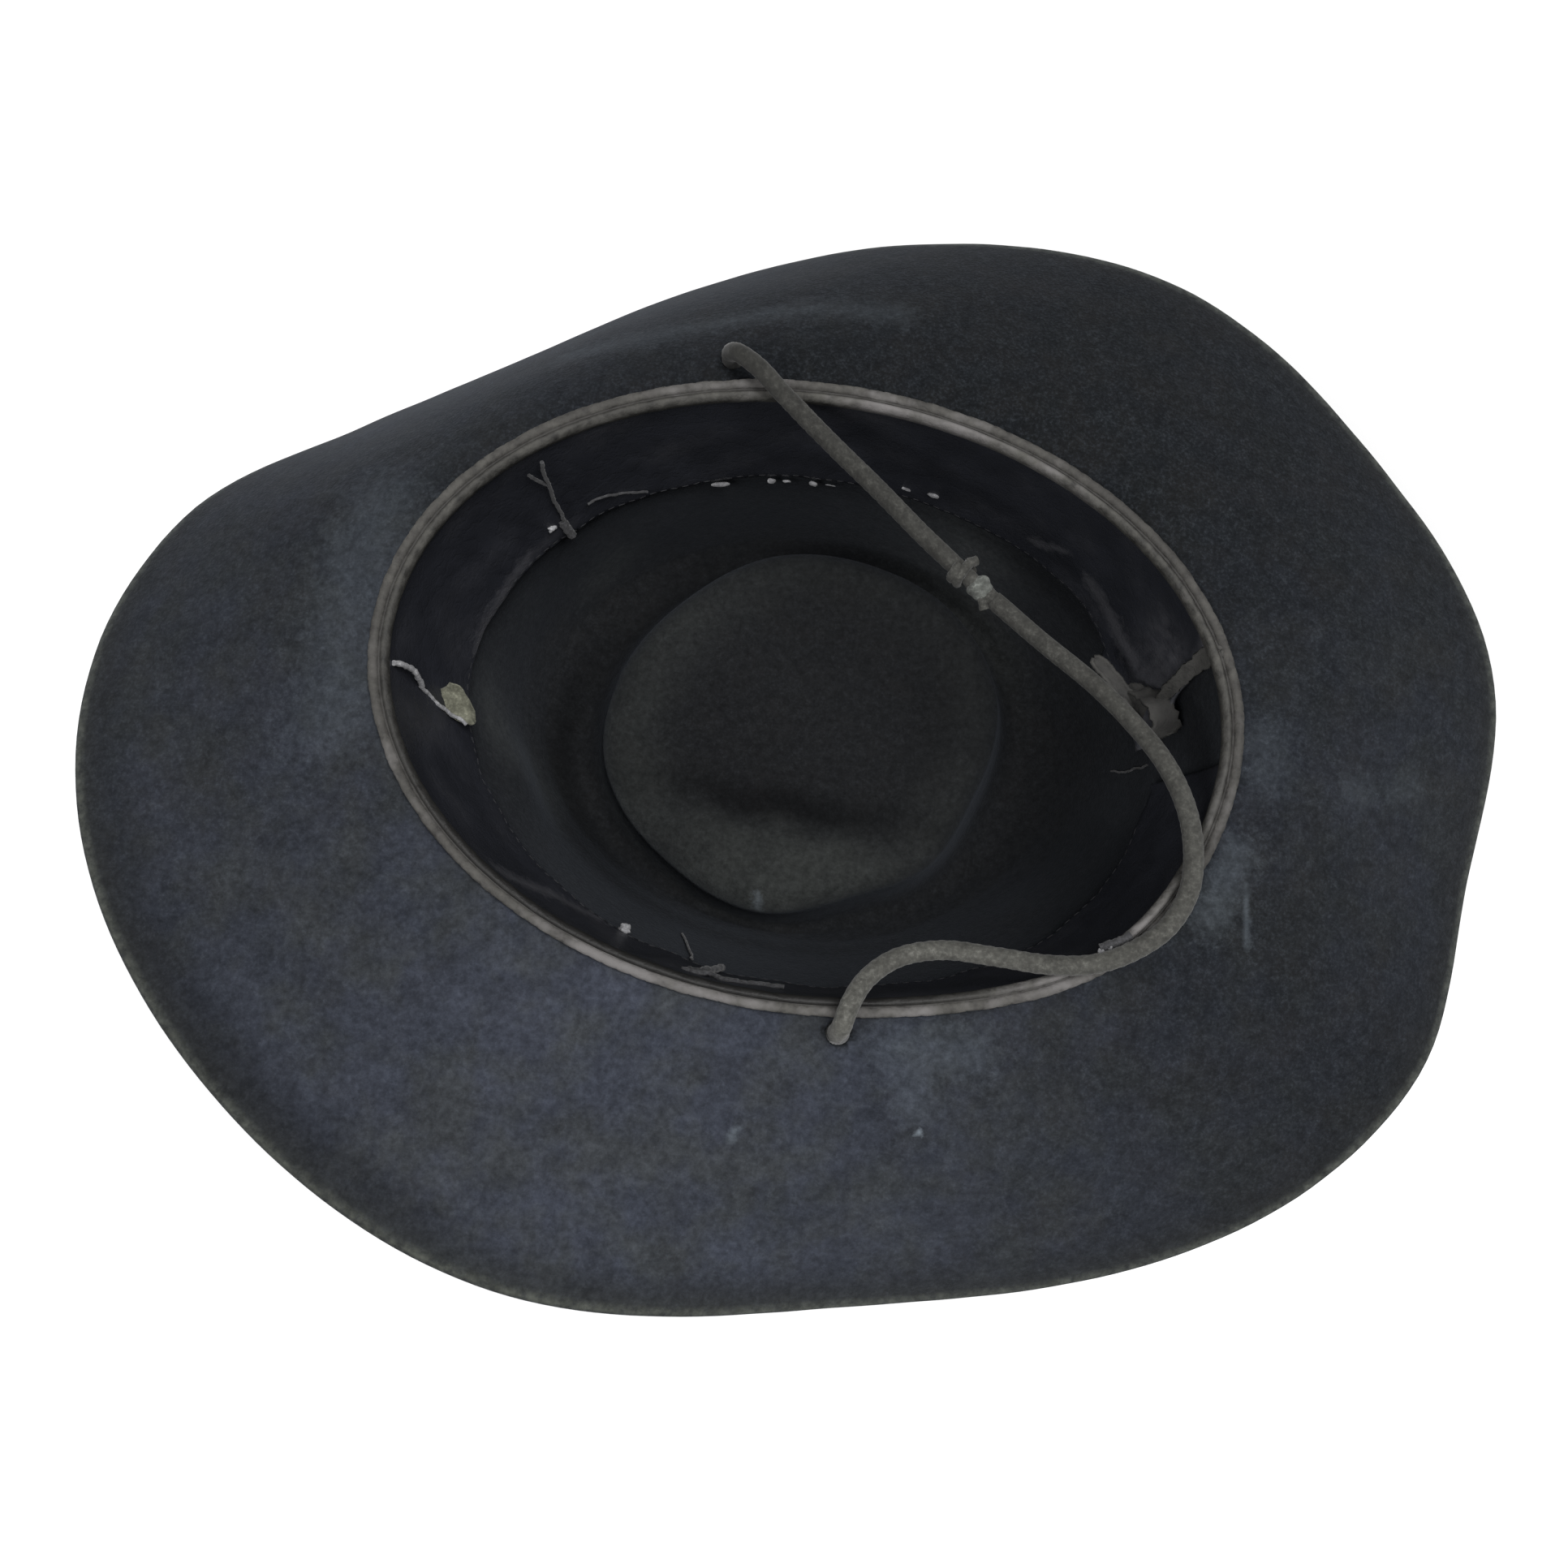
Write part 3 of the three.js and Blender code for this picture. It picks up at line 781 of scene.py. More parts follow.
def wear_group() -> bpy.types.NodeTree:
    """Patchy wear, or dust and painted light, laid over a colour, by an amount.

    Returns:
        The group's tree.
    """
    inputs = {"Vector": Kind.VECTOR, "Color": Kind.COLOUR, "Worn": Kind.COLOUR}
    inputs |= {"Amount": Kind.VALUE, "Patch": Kind.VALUE, "Least": Kind.VALUE}
    group = ShaderGroup("wear", inputs, {"Color": Kind.COLOUR, "Mask": Kind.VALUE})
    nodes, given = group.nodes, group.given
    inputs = {"Vector": given["Vector"], "Scale": given["Patch"], "Detail": 5.0, "Roughness": 0.65}
    patches = nodes.add("TexNoise", inputs).outputs["Fac"]
    most = nodes.math("SUBTRACT", 2.0, given["Least"])
    patch = nodes.remap(patches, 0.3, 0.7, given["Least"], most)
    mask = nodes.remap(nodes.math("MULTIPLY", patch, given["Amount"]), 0.0, 1.0)
    group.give("Color", nodes.mix(mask, given["Color"], given["Worn"]))
    group.give("Mask", mask)
    return group.tree


def grain_group() -> bpy.types.NodeTree:
    """Leather grain: fine pores in soft wrinkles.

    Returns:
        The group's tree.
    """
    group = ShaderGroup("grain", {"Vector": Kind.VECTOR}, {"Height": Kind.VALUE})
    nodes, given = group.nodes, group.given
    inputs = {"Vector": given["Vector"], "Scale": 900.0}
    cells = nodes.add("TexVoronoi", inputs, feature="DISTANCE_TO_EDGE")
    pores = nodes.remap(cells.outputs["Distance"], 0.0, 0.25)
    wrinkle = nodes.noise(given["Vector"], 7.0, 4.0, 0.55)
    crease = nodes.remap(nodes.math("ABSOLUTE", nodes.math("SUBTRACT", wrinkle, 0.5)), 0.0, 0.07)
    group.give("Height", nodes.math("ADD", nodes.math("MULTIPLY", pores, 0.3), crease))
    return group.tree


def streak_group() -> bpy.types.NodeTree:
    """A soft ragged mark along the line between two places, or a spot where they are one.

    Returns:
        The group's tree.
    """
    inputs = {"Vector": Kind.VECTOR, "Start": Kind.VECTOR, "Along": Kind.VECTOR}
    inputs |= {"Scale Back": Kind.VALUE, "Half Width": Kind.VALUE}
    group = ShaderGroup("streak", inputs, {"Mask": Kind.VALUE})
    nodes, given = group.nodes, group.given
    offset = nodes.vector("SUBTRACT", given["Vector"], given["Start"]).outputs[0]
    dot = nodes.vector("DOT_PRODUCT", offset, given["Along"]).outputs["Value"]
    reach = nodes.math("MULTIPLY", dot, given["Scale Back"])
    share = nodes.remap(reach, 0.0, 1.0)
    nearest = nodes.add("VectorMath", {0: given["Along"], "Scale": share}, operation="SCALE")
    gap = nodes.vector("DISTANCE", offset, nearest.outputs[0]).outputs["Value"]
    ragged = nodes.remap(nodes.noise(given["Vector"], 2.2, 4.0, 0.65), 0.3, 0.7, 0.45, 1.5)
    ratio = nodes.math("DIVIDE", nodes.math("MULTIPLY", gap, ragged), given["Half Width"])
    group.give("Mask", nodes.remap(ratio, 0.2, 1.3, 1.0, 0.0))
    return group.tree


@dataclass(frozen=True)
class Effects:
    """The node groups that the finishes share."""

    fibre: bpy.types.NodeTree
    wear: bpy.types.NodeTree
    grain: bpy.types.NodeTree
    streak: bpy.types.NodeTree

    @classmethod
    def make(cls) -> "Effects":
        """Builds each group once."""
        return cls(fibre_group(), wear_group(), grain_group(), streak_group())


def new_material(name: str) -> tuple[bpy.types.Material, Nodes, bpy.types.Node]:
    """Makes a material.

    Args:
        name: the material's name.

    Returns:
        The material, its nodes and its Principled shader.
    """
    material = bpy.data.materials.new(name)
    material.use_nodes = True
    return material, Nodes(material.node_tree), material.node_tree.nodes["Principled BSDF"]


# Finishes


class Mark(NamedTuple):
    """A pale streak on the felt or the leather, from one place to another, or a spot: lint and smears, and some
    painted highlights.
    """

    start: tuple[float, float, float]
    end: tuple[float, float, float]
    half_width: float
    strength: float


# Lint and pale smears on the felt, and painted highlights where the brim rolls beside the opening on the left and
# along the far left.
FELT_MARKS = (
    Mark((-17.1, -151.9, -2), (-18.5, -147, -1.6), 1.6, 0.7),
    Mark((-19, -150, -2), (-27, -150.5, -2), 1.6, 0.2),
    Mark((43.6, -99.3, -5.6), (43.6, -99.3, -5.6), 1.0, 0.7),
    Mark((0.5, -108.3, -4.7), (1.2, -106, -4.5), 1.3, 0.3),
    Mark((138.7, -2.7, -6.4), (134, -2.5, -6), 4.5, 0.08),
    Mark((152.4, 2.3, -11.3), (147, 0, -10), 4.5, 0.07),
    Mark((36, -81.5, -1.2), (52, -79, -1.2), 7.0, 0.12),
    Mark((39, -84, -1.8), (41, -92, -3), 6.0, 0.11),
    Mark((110.9, -29.9, -0.6), (112.9, -44, -1.8), 1.0, 0.2),
    Mark((107.5, -24, -0.6), (103.5, -38, -0.6), 6.0, 0.15),
    # Painted highlight: the lit patch where the brim starts to roll beside the opening on the left.
    Mark((-112, 30, -0.6), (-110.3, -25, -0.6), 12.0, 0.1),
    Mark((-121.8, 22.1, -1.5), (-116, 10, -1), 5.0, 0.1),
    Mark((112.5, -2.1, -0.6), (112, 5, -0.6), 7.0, 0.08),
    # Painted highlight: the lit stripe along the far-left brim where it rolls over.
    Mark((-76, 81, -14.3), (-48.8, 89.6, -8.8), 5.0, 0.09),
    Mark((-48.8, 89.6, -8.8), (-14.7, 102.7, -9.9), 4.5, 0.09),
    Mark((-14.7, 102.7, -9.9), (8, 104, -8), 5.0, 0.08),
    Mark((-5, -46, -84), (-4.5, -49.5, -85), 1.6, 0.3),
)


@dataclass(frozen=True)
class FeltFinish:
    """Old blue-black felt with dust in its nap, and painted light and shade laid on from its attributes and marks."""

    effects: Effects
    mouth: MouthFrame
    deep: Colour = (0.0025, 0.0031, 0.0035)
    body: Colour = (0.006, 0.0071, 0.0082)
    tint: Colour = (0.0068, 0.0066, 0.0062)
    fleck: Colour = (0.0165, 0.019, 0.022)
    # the colour of dust, which also serves for painted light
    dust_and_painted_light: Colour = (0.058, 0.0655, 0.089)
    warm: Colour = (0.0138, 0.0142, 0.0154)
    olive: Colour = (0.0595, 0.064, 0.06)
    # the colour of the pale marks: lint and smears, and painted highlights
    worn_and_highlight: Colour = (0.15, 0.175, 0.2)
    frayed: Colour = (0.06, 0.064, 0.056)
    nap_depth: float = 0.5

    def material(self) -> bpy.types.Material:
        """Builds the material.

        Returns:
            The felt's material.
        """
        material, nodes, shader = new_material("felt")
        place = nodes.place()
        inputs = {"Vector": place, "Deep": self.deep, "Body": self.body, "Tint": self.tint}
        fibre = nodes.group(self.effects.fibre, inputs | {"Fleck": self.fleck})
        warmth = nodes.attribute("warmth")
        colour = nodes.mix(nodes.math("MULTIPLY", warmth, 0.6), fibre.outputs["Color"], self.warm)
        drift = nodes.remap(nodes.noise(place, 17, 3.0, 0.6), 0.42, 0.62, 0.0, 0.55)
        # Dust and painted light, laid where the dust_and_painted_light attribute asks.
        dust_and_painted_light = nodes.mix(nodes.math("MAXIMUM", warmth, drift), self.dust_and_painted_light, self.olive)
        colour = self.lay(nodes, place, colour, dust_and_painted_light, nodes.attribute("dust_and_painted_light"), 90.0, 0.72)
        colour = self.lay(nodes, place, colour, self.frayed, nodes.attribute("wear"), 420.0, 0.2)
        # Pale marks: lint and smears, and painted highlights on the brim.
        marks = marks_mask(nodes, self.effects, self.mouth, FELT_MARKS, place)
        colour = nodes.mix(marks, colour, self.worn_and_highlight)
        # Painted light and shade from the shade attribute, times how open the pores are.
        shade = nodes.remap(nodes.attribute("shade"), -1.0, 1.0, 1.9, 0.1)
        shade = nodes.math("MULTIPLY", shade, fibre.outputs["Open"])
        colour = nodes.mix(1.0, colour, nodes.grey(shade), "MULTIPLY")
        gloss = {"Roughness": 0.95, "Specular IOR Level": 0.12}
        sheen = {"Sheen Weight": 0.06, "Sheen Roughness": 0.55, "Sheen Tint": (0.55, 0.62, 0.75)}
        normal = nodes.bump(fibre.outputs["Height"], self.nap_depth, 0.75)
        nodes.feed(shader, {"Base Color": colour, "Normal": normal} | gloss | sheen)
        return material

    def lay(
        self, nodes: Nodes, place: Any, colour: Any, over: Any, amount: Any, patch: float, least: float
    ) -> Any:
        """Lays dust and painted light, or wear, over a colour.

        Args:
            nodes: the material's nodes.
            place: the place on the piece.
            colour: the colour so far.
            over: the colour of what is laid on.
            amount: how much of it.
            patch: the scale of its patches, per metre.
            least: its share where it is thinnest.

        Returns:
            The new colour.
        """
        inputs = {"Vector": place, "Color": colour, "Worn": over, "Amount": amount}
        inputs |= {"Patch": patch, "Least": least}
        return nodes.group(self.effects.wear, inputs).outputs["Color"]


# Pale smears on the band; the first three are a painted highlight where the band's foot catches light on the left.
BAND_MARKS = (
    Mark((-73, 46, -42), (-83.8, 33.8, -43), 2.6, 0.3),
    Mark((-83.8, 33.8, -43), (-91.1, 17, -45.3), 3.0, 0.9),
    Mark((-91.1, 17, -45.3), (-93.5, 7, -46), 3.0, 0.8),
    Mark((71, 49.4, -34.8), (80.2, 39.2, -36.6), 3.2, 1.1),
    Mark((80.2, 39.2, -36.6), (85.7, 29.7, -34.6), 3.6, 1.0),
    Mark((79.3, 39.9, -38), (88, 28.5, -27), 6.0, 0.12),
    Mark((87, 24, -34), (93.2, 19, -22), 6.0, 0.5),
    Mark((55, 59.6, -38), (57.5, 58.5, -36.5), 2.2, 1.0),
    Mark((57.5, 58.5, -36.5), (62.5, 55.9, -30.8), 1.6, 0.8),
    Mark((-66.2, -54.4, -14), (-56.8, -57.3, -33.5), 3.2, 1.0),
    Mark((-56.8, -57.3, -33.5), (-45.7, -60.8, -43.9), 3.2, 0.9),
    Mark((-46, -60, -44), (-38, -64, -24), 4.0, 0.35),
    Mark((-38, -67.5, -3), (-27, -71, -2), 5.0, 1.3),
)


def marks_mask(
    nodes: Nodes, effects: Effects, mouth: MouthFrame, table: Sequence[Mark], place: Any
) -> Any:
    """Puts a table of pale marks on a material.

    Args:
        nodes: the material's nodes.
        effects: the shared node groups.
        mouth: the opening's place.
        table: the marks.
        place: the place on the piece.

    Returns:
        The strength of the strongest mark at a place.
    """
    total: Any = None
    for mark in table:
        along = (Vector(mark.end) - Vector(mark.start)) / 1000
        inputs = {
            "Vector": place,
            "Start": mouth.metres(mark.start),
            "Along": along,
            "Scale Back": 1 / max(along.length_squared, 1e-9),
            "Half Width": mark.half_width / 1000,
        }
        mask = nodes.math("MULTIPLY", nodes.group(effects.streak, inputs).outputs["Mask"], mark.strength)
        total = mask if total is None else nodes.math("MAXIMUM", total, mask)
    return total


@dataclass(frozen=True)
class LeatherFinish:
    """Worn leather, with wear where a piece's wear attribute asks for it, and painted sparkle where its
    painted_sparkle attribute asks for it.
    """

    effects: Effects
    name: str
    base: Colour
    # the colour of wear, and of the band's pale marks, some of them painted highlights
    worn_and_highlight: Colour
    roughness: float = 0.42
    # the colour of painted highlights: bright sparkling spots of light on the leather
    painted_sparkle: Colour = (0.145, 0.138, 0.136)
    patch: float = 300.0
    relief: float = 0.12
    mouth: MouthFrame | None = None

    def material(self) -> bpy.types.Material:
        """Builds the material.

        Returns:
            The leather's material.
        """
        material, nodes, shader = new_material(self.name)
        place = nodes.place()
        grain = nodes.group(self.effects.grain, {"Vector": place})
        tone = nodes.remap(nodes.noise(place, 11, 4.0), 0.3, 0.7, 0.82, 1.18)
        colour = nodes.mix(1.0, self.base, nodes.grey(tone), "MULTIPLY")
        inputs = {"Vector": place, "Color": colour, "Worn": self.worn_and_highlight, "Patch": self.patch, "Least": 0.2}
        inputs["Amount"] = nodes.attribute("wear")
        wear = nodes.group(self.effects.wear, inputs)
        # Painted highlight: sparkling spots where the painted_sparkle attribute asks for them.
        pale_amount = nodes.attribute("painted_sparkle")
        sparkle_spots = nodes.noise(place, 15, 4.0, 0.68)
        sparkle_spots = nodes.math("ADD", sparkle_spots, nodes.remap(pale_amount, 0, 1, -0.17, 0.17))
        sparkle_spots = nodes.math("MULTIPLY", nodes.remap(sparkle_spots, 0.43, 0.64), nodes.remap(pale_amount, 0.0, 0.4))
        colour = nodes.mix(sparkle_spots, wear.outputs["Color"], self.painted_sparkle)
        # Pale marks on the band: smears, and a painted highlight along its foot on the left.
        if self.mouth is not None:
            marks = marks_mask(nodes, self.effects, self.mouth, BAND_MARKS, place)
            colour = nodes.mix(marks, colour, self.worn_and_highlight)
        roughest = min(1.0, self.roughness + 0.3)
        rough = nodes.remap(wear.outputs["Mask"], 0.0, 1.0, self.roughness, roughest)
        normal = nodes.bump(grain.outputs["Height"], self.relief, 0.6)
        gloss = {"Roughness": rough, "Specular IOR Level": 0.35}
        nodes.feed(shader, {"Base Color": colour, "Normal": normal} | gloss)
        return material


@dataclass(frozen=True)
class YarnFinish:
    """Spun or braided fibre, for the cord, threads and lint."""

    effects: Effects
    name: str
    deep: Colour
    body: Colour
    fleck: Colour
    roughness: float = 0.8
    relief: float = 0.15

    def material(self) -> bpy.types.Material:
        """Builds the material.

        Returns:
            The yarn's material.
        """
        material, nodes, shader = new_material(self.name)
        place = nodes.place()
        inputs = {"Vector": place, "Deep": self.deep, "Body": self.body, "Tint": self.body}
        fibre = nodes.group(self.effects.fibre, inputs | {"Fleck": self.fleck})
        # Painted shade: the braid's grooves and the lump's turns are darkened towards the deep colour.
        groove = nodes.math("MULTIPLY", nodes.attribute("groove"), 0.6)
        colour = nodes.mix(groove, fibre.outputs["Color"], self.deep)
        # Darker or lighter along the cord: dirt and painted shade near the far hole, lighter towards the near hole.
        dirt_and_shade = nodes.remap(nodes.attribute("dirt_and_shade"), -1.0, 1.0, 1.9, 0.1)
        dirt_and_shade = nodes.math("MULTIPLY", dirt_and_shade, fibre.outputs["Open"])
        colour = nodes.mix(1.0, colour, nodes.grey(dirt_and_shade), "MULTIPLY")
        normal = nodes.bump(fibre.outputs["Height"], self.relief, 0.6)
        gloss = {"Roughness": self.roughness, "Specular IOR Level": 0.25, "Sheen Weight": 0.15}
        nodes.feed(shader, {"Base Color": colour, "Normal": normal} | gloss)
        return material


@dataclass(frozen=True)
class Finishes:
    """Every material of the hat, made once."""

    felt: bpy.types.Material
    band: bpy.types.Material
    torn: bpy.types.Material
    bead: bpy.types.Material
    reed: bpy.types.Material
    cord: bpy.types.Material
    knot: bpy.types.Material
    stitch: bpy.types.Material
    dull: bpy.types.Material
    pale: bpy.types.Material
    scrap: bpy.types.Material

    @classmethod
    def make(cls, mouth: MouthFrame) -> "Finishes":
        """Makes the materials.

        Args:
            mouth: the opening's place, for the marks on the felt and the band.

        Returns:
            The finishes.
        """
        fx = Effects.make()
        leather, yarn = LeatherFinish, YarnFinish
        looks = {
            "felt": FeltFinish(fx, mouth),
            "band": leather(
                fx, "band_leather", (0.02, 0.0214, 0.0275), (0.064, 0.0645, 0.073), mouth=mouth
            ),
            "torn": leather(fx, "torn_leather", (0.026, 0.0255, 0.025), (0.058, 0.0565, 0.053), 0.8),
            "bead": leather(fx, "bead_leather", (0.011, 0.0105, 0.01), (0.08, 0.0775, 0.07), 0.6),
            "reed": leather(fx, "reed_leather", (0.02, 0.0185, 0.0175), (0.08, 0.077, 0.0705), 0.65),
            "cord": yarn(
                fx, "cord", (0.03, 0.0295, 0.026), (0.047, 0.0465, 0.0415), (0.07, 0.0695, 0.0625)
            ),
            "knot": yarn(
                fx, "knot", (0.06, 0.063, 0.057), (0.11, 0.117, 0.107), (0.18, 0.188, 0.175)
            ),
            "stitch": yarn(
                fx, "stitch", (0.015, 0.0152, 0.018), (0.019, 0.0193, 0.023), (0.024, 0.0243, 0.029)
            ),
            "dull": yarn(
                fx, "dull_thread", (0.024, 0.024, 0.026), (0.048, 0.048, 0.051), (0.078, 0.078, 0.083)
            ),
            "pale": yarn(fx, "pale_thread", (0.17, 0.17, 0.18), (0.3, 0.3, 0.31), (0.42, 0.42, 0.43)),
            "scrap": yarn(
                fx, "cream_scrap", (0.085, 0.085, 0.062), (0.16, 0.16, 0.121), (0.225, 0.225, 0.174)
            ),
        }
        return cls(**{name: look.material() for name, look in looks.items()})


# Making pieces


def mesh_from(name: str, bm: bmesh.types.BMesh) -> bpy.types.Mesh:
    """Turns a bmesh into a mesh.

    Args:
        name: the mesh's name.
        bm: the bmesh, which is freed.

    Returns:
        The mesh.
    """
    mesh = bpy.data.meshes.new(name)
    bm.to_mesh(mesh)
    bm.free()
    return mesh


def put_in_scene(name: str, data: Any) -> bpy.types.Object:
    """Makes an object and links it to the scene.

    Args:
        name: the object's name.
        data: its mesh, lamp or camera.

    Returns:
        The object.
    """
    made = bpy.data.objects.new(name, data)
    bpy.context.scene.collection.objects.link(made)
    return made


def thicken(piece: bpy.types.Object, thickness: float) -> None:
    """Gives an open sheet its thickness, half to each side.

    Args:
        piece: the sheet.
        thickness: its thickness in millimetres.
    """
    wall = piece.modifiers.new("thickness", "SOLIDIFY")
    wall.thickness = thickness / 1000
    wall.offset = 0.0


def bent_grid(columns: int, rows: int, place: Place) -> bmesh.types.BMesh:
    """Bends a flat grid into a surface and merges what meets.

    Args:
        columns: cells across.
        rows: cells along.
        place: the place of a grid point, by its column and row.

    Returns:
        The surface. Its points keep their column and row in layers of those names.
    """
    bm = bmesh.new()
    bm.loops.layers.uv.new("UVMap")
    column = bm.verts.layers.int.new("column")
    row = bm.verts.layers.int.new("row")
    bmesh.ops.create_grid(bm, x_segments=columns, y_segments=rows, size=0.5, calc_uvs=True)
    for vert in bm.verts:
        vert[column] = round((vert.co.x + 0.5) * columns)
        vert[row] = round((vert.co.y + 0.5) * rows)
        vert.co = place(vert[column], vert[row])
    bmesh.ops.remove_doubles(bm, verts=bm.verts, dist=MERGE)
    return bm


def close_holes(bm: bmesh.types.BMesh) -> None:
    """Caps a mesh's open ends and turns its faces outwards."""
    rims = [edge for edge in bm.edges if edge.is_boundary]
    bmesh.ops.holes_fill(bm, edges=rims, sides=0)
    bmesh.ops.recalc_face_normals(bm, faces=bm.faces)


def bent_tube(
    line: Sequence[Vector],
    sides: int,
    radius: Skin,
    groove: Skin | None = None,
) -> bmesh.types.BMesh:
    """A closed tube along a line.

    Args:
        line: the points of its centreline.
        sides: its sides.
        radius: the radius at a turn round it, in radians, and a distance along it.
        groove: the depth of a groove there, from 0 to 1, kept as an attribute that the yarn's finish darkens as
            painted shade.

    Returns:
        The tube.
    """
    along = [0.0]
    for a, b in zip(line, line[1:]):
        along.append(along[-1] + (b - a).length)
    ways = [(b - a).normalized() for a, b in zip(line, line[1:])]
    ways = [ways[0]] + [(a + b).normalized() for a, b in zip(ways, ways[1:])] + [ways[-1]]
    side = ways[0].orthogonal().normalized()
    frames = []
    for i, way in enumerate(ways):
        if i:
            side = ways[i - 1].rotation_difference(way) @ side
        side = (side - way * side.dot(way)).normalized()
        frames.append((side.copy(), way.cross(side)))

    def place(i: int, j: int) -> Vector:
        """The place of a point of the tube's skin."""
        turn = 2 * math.pi * (i % sides) / sides
        across, up = frames[j]
        return line[j] + (across * math.cos(turn) + up * math.sin(turn)) * radius(turn, along[j])

    bm = bent_grid(sides, len(line) - 1, place)
    column, row = bm.verts.layers.int["column"], bm.verts.layers.int["row"]
    if groove is not None:
        layer = bm.verts.layers.float.new("groove")
        for vert in bm.verts:
            vert[layer] = groove(2 * math.pi * (vert[column] % sides) / sides, along[vert[row]])
    close_holes(bm)
    return bm


def joined(parts: Sequence[bmesh.types.BMesh]) -> bmesh.types.BMesh:
    """Puts several meshes into one.

    Args:
        parts: the meshes, which are freed.

    Returns:
        One mesh that holds them all.
    """
    whole = bmesh.new()
    for part in parts:
        mesh = mesh_from("part", part)
        whole.from_mesh(mesh)
        bpy.data.meshes.remove(mesh)
    return whole


@dataclass
class Workshop:
    """Turns finished meshes into pieces of the hat."""

    mouth: MouthFrame
    pieces: list[bpy.types.Object] = field(default_factory=list)

    def piece(
        self,
        name: str,
        bm: bmesh.types.BMesh,
        material: bpy.types.Material,
        slot: Slot | None = None,
        sharp: float = 50.0,
    ) -> bpy.types.Object:
        """Makes one piece from a mesh in millimetres.

        Args:
            name: the piece's name.
            bm: its mesh, which is freed.
            material: its finish.
            slot: the record's slot for that finish.
            sharp: the angle past which an edge stays sharp.

        Returns:
            The piece, riding on the hat.
        """
        bm.transform(self.mouth.matrix)
        for helper in ("column", "row"):
            if helper in bm.verts.layers.int:
                bm.verts.layers.int.remove(bm.verts.layers.int[helper])
        mesh = mesh_from(name, bm)
        mesh.shade_smooth()
        mesh.set_sharp_from_angle(angle=math.radians(sharp))
        mesh.materials.append(material)
        piece = put_in_scene(name, mesh)
        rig.ride(piece, BODY)
        if slot is not None:
            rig.slot(piece, slot.value)
        self.pieces.append(piece)
        return piece


# The felt


class DustAndLight(NamedTuple):
    """How much dust and painted light lighten the brim's upper face at a bearing."""

    bearing: float
    dust_and_painted_light: float


# Lightest on the near side: dust, and painted light where the light falls most.
BRIM_DUST_AND_LIGHT = (
    DustAndLight(0, 0.16),
    DustAndLight(30, 0.06),
    DustAndLight(60, 0.03),
    DustAndLight(90, 0.03),
    DustAndLight(120, 0.06),
    DustAndLight(150, 0.12),
    DustAndLight(175, 0.18),
    DustAndLight(200, 0.26),
    DustAndLight(225, 0.38),
    DustAndLight(250, 0.5),
    DustAndLight(280, 0.44),
    DustAndLight(305, 0.26),
    DustAndLight(330, 0.12),
)


class PaleTrail(NamedTuple):
    """A pale trail on the crown's inside: its two ends, how wide it spreads and how strong it is."""

    start: tuple[float, float, float]
    end: tuple[float, float, float]
    spread: float
    dust_and_painted_light: float


INSIDE_PALE_TRAILS = (
    # Painted highlight along the ridge of the left wall.
    PaleTrail((-91, -4, -62), (-76, -26, -95), 10, 0.25),
    # A lighter patch low on the far-left wall.
    PaleTrail((-71, 46, -88), (-66, 51, -84), 9, 0.26),
)


class ToneSpot(NamedTuple):
    """A crescent of painted shade inside, or of painted light where dark is below 0; a ratio is 1 on the tip's rim and
    grows outwards.
    """

    bearing: float
    turn: float
    ratio: float
    spread: float
    dark: float

    def at(self, bearing: float, ratio: float) -> float:
        """Its darkness at a place."""
        round_it = bump(turn_between(self.bearing, bearing), self.turn)
        return self.dark * round_it * bump(ratio - self.ratio, self.spread)


class ToneSide(NamedTuple):
    """A side of the inside with painted shade, or painted light where dark is below 0, which sets in at one ratio and
    is full at another.
    """

    bearing: float
    turn: float
    start: float
    full: float
    dark: float

    def at(self, bearing: float, ratio: float) -> float:
        """Its darkness at a place."""
        round_it = bump(turn_between(self.bearing, bearing), self.turn)
        return self.dark * round_it * ease(ratio, self.start, self.full)


# Painted light on the left wall and painted shade in the valley round the tip.
WALL_PAINTED_LIGHT_AND_SHADE = (
    ToneSide(195, 45, 1, 1.12, -0.5),
    ToneSide(130, 30, 1.2, 1.35, -0.3),
    ToneSpot(198, 42, 1.27, 0.12, 1.15),
    ToneSpot(228, 25, 1.22, 0.1, 0.35),
    ToneSpot(150, 32, 1.1, 0.1, 0.8),
)
# Painted light in the deep trench just outside the tip's rim.
TRENCH_PAINTED_LIGHT = (
    ToneSpot(220, 42, 1.035, 0.04, -1),
    ToneSpot(45, 25, 1.15, 0.1, -1),
)
# Painted shade on the tip's right, far and left parts.
TIP_PAINTED_SHADE = (
    ToneSide(12, 40, 0.5, 0.72, 0.3),
    ToneSide(90, 45, 0.6, 0.8, 0.2),
    ToneSide(180, 40, 0.75, 0.9, 0.12),
)


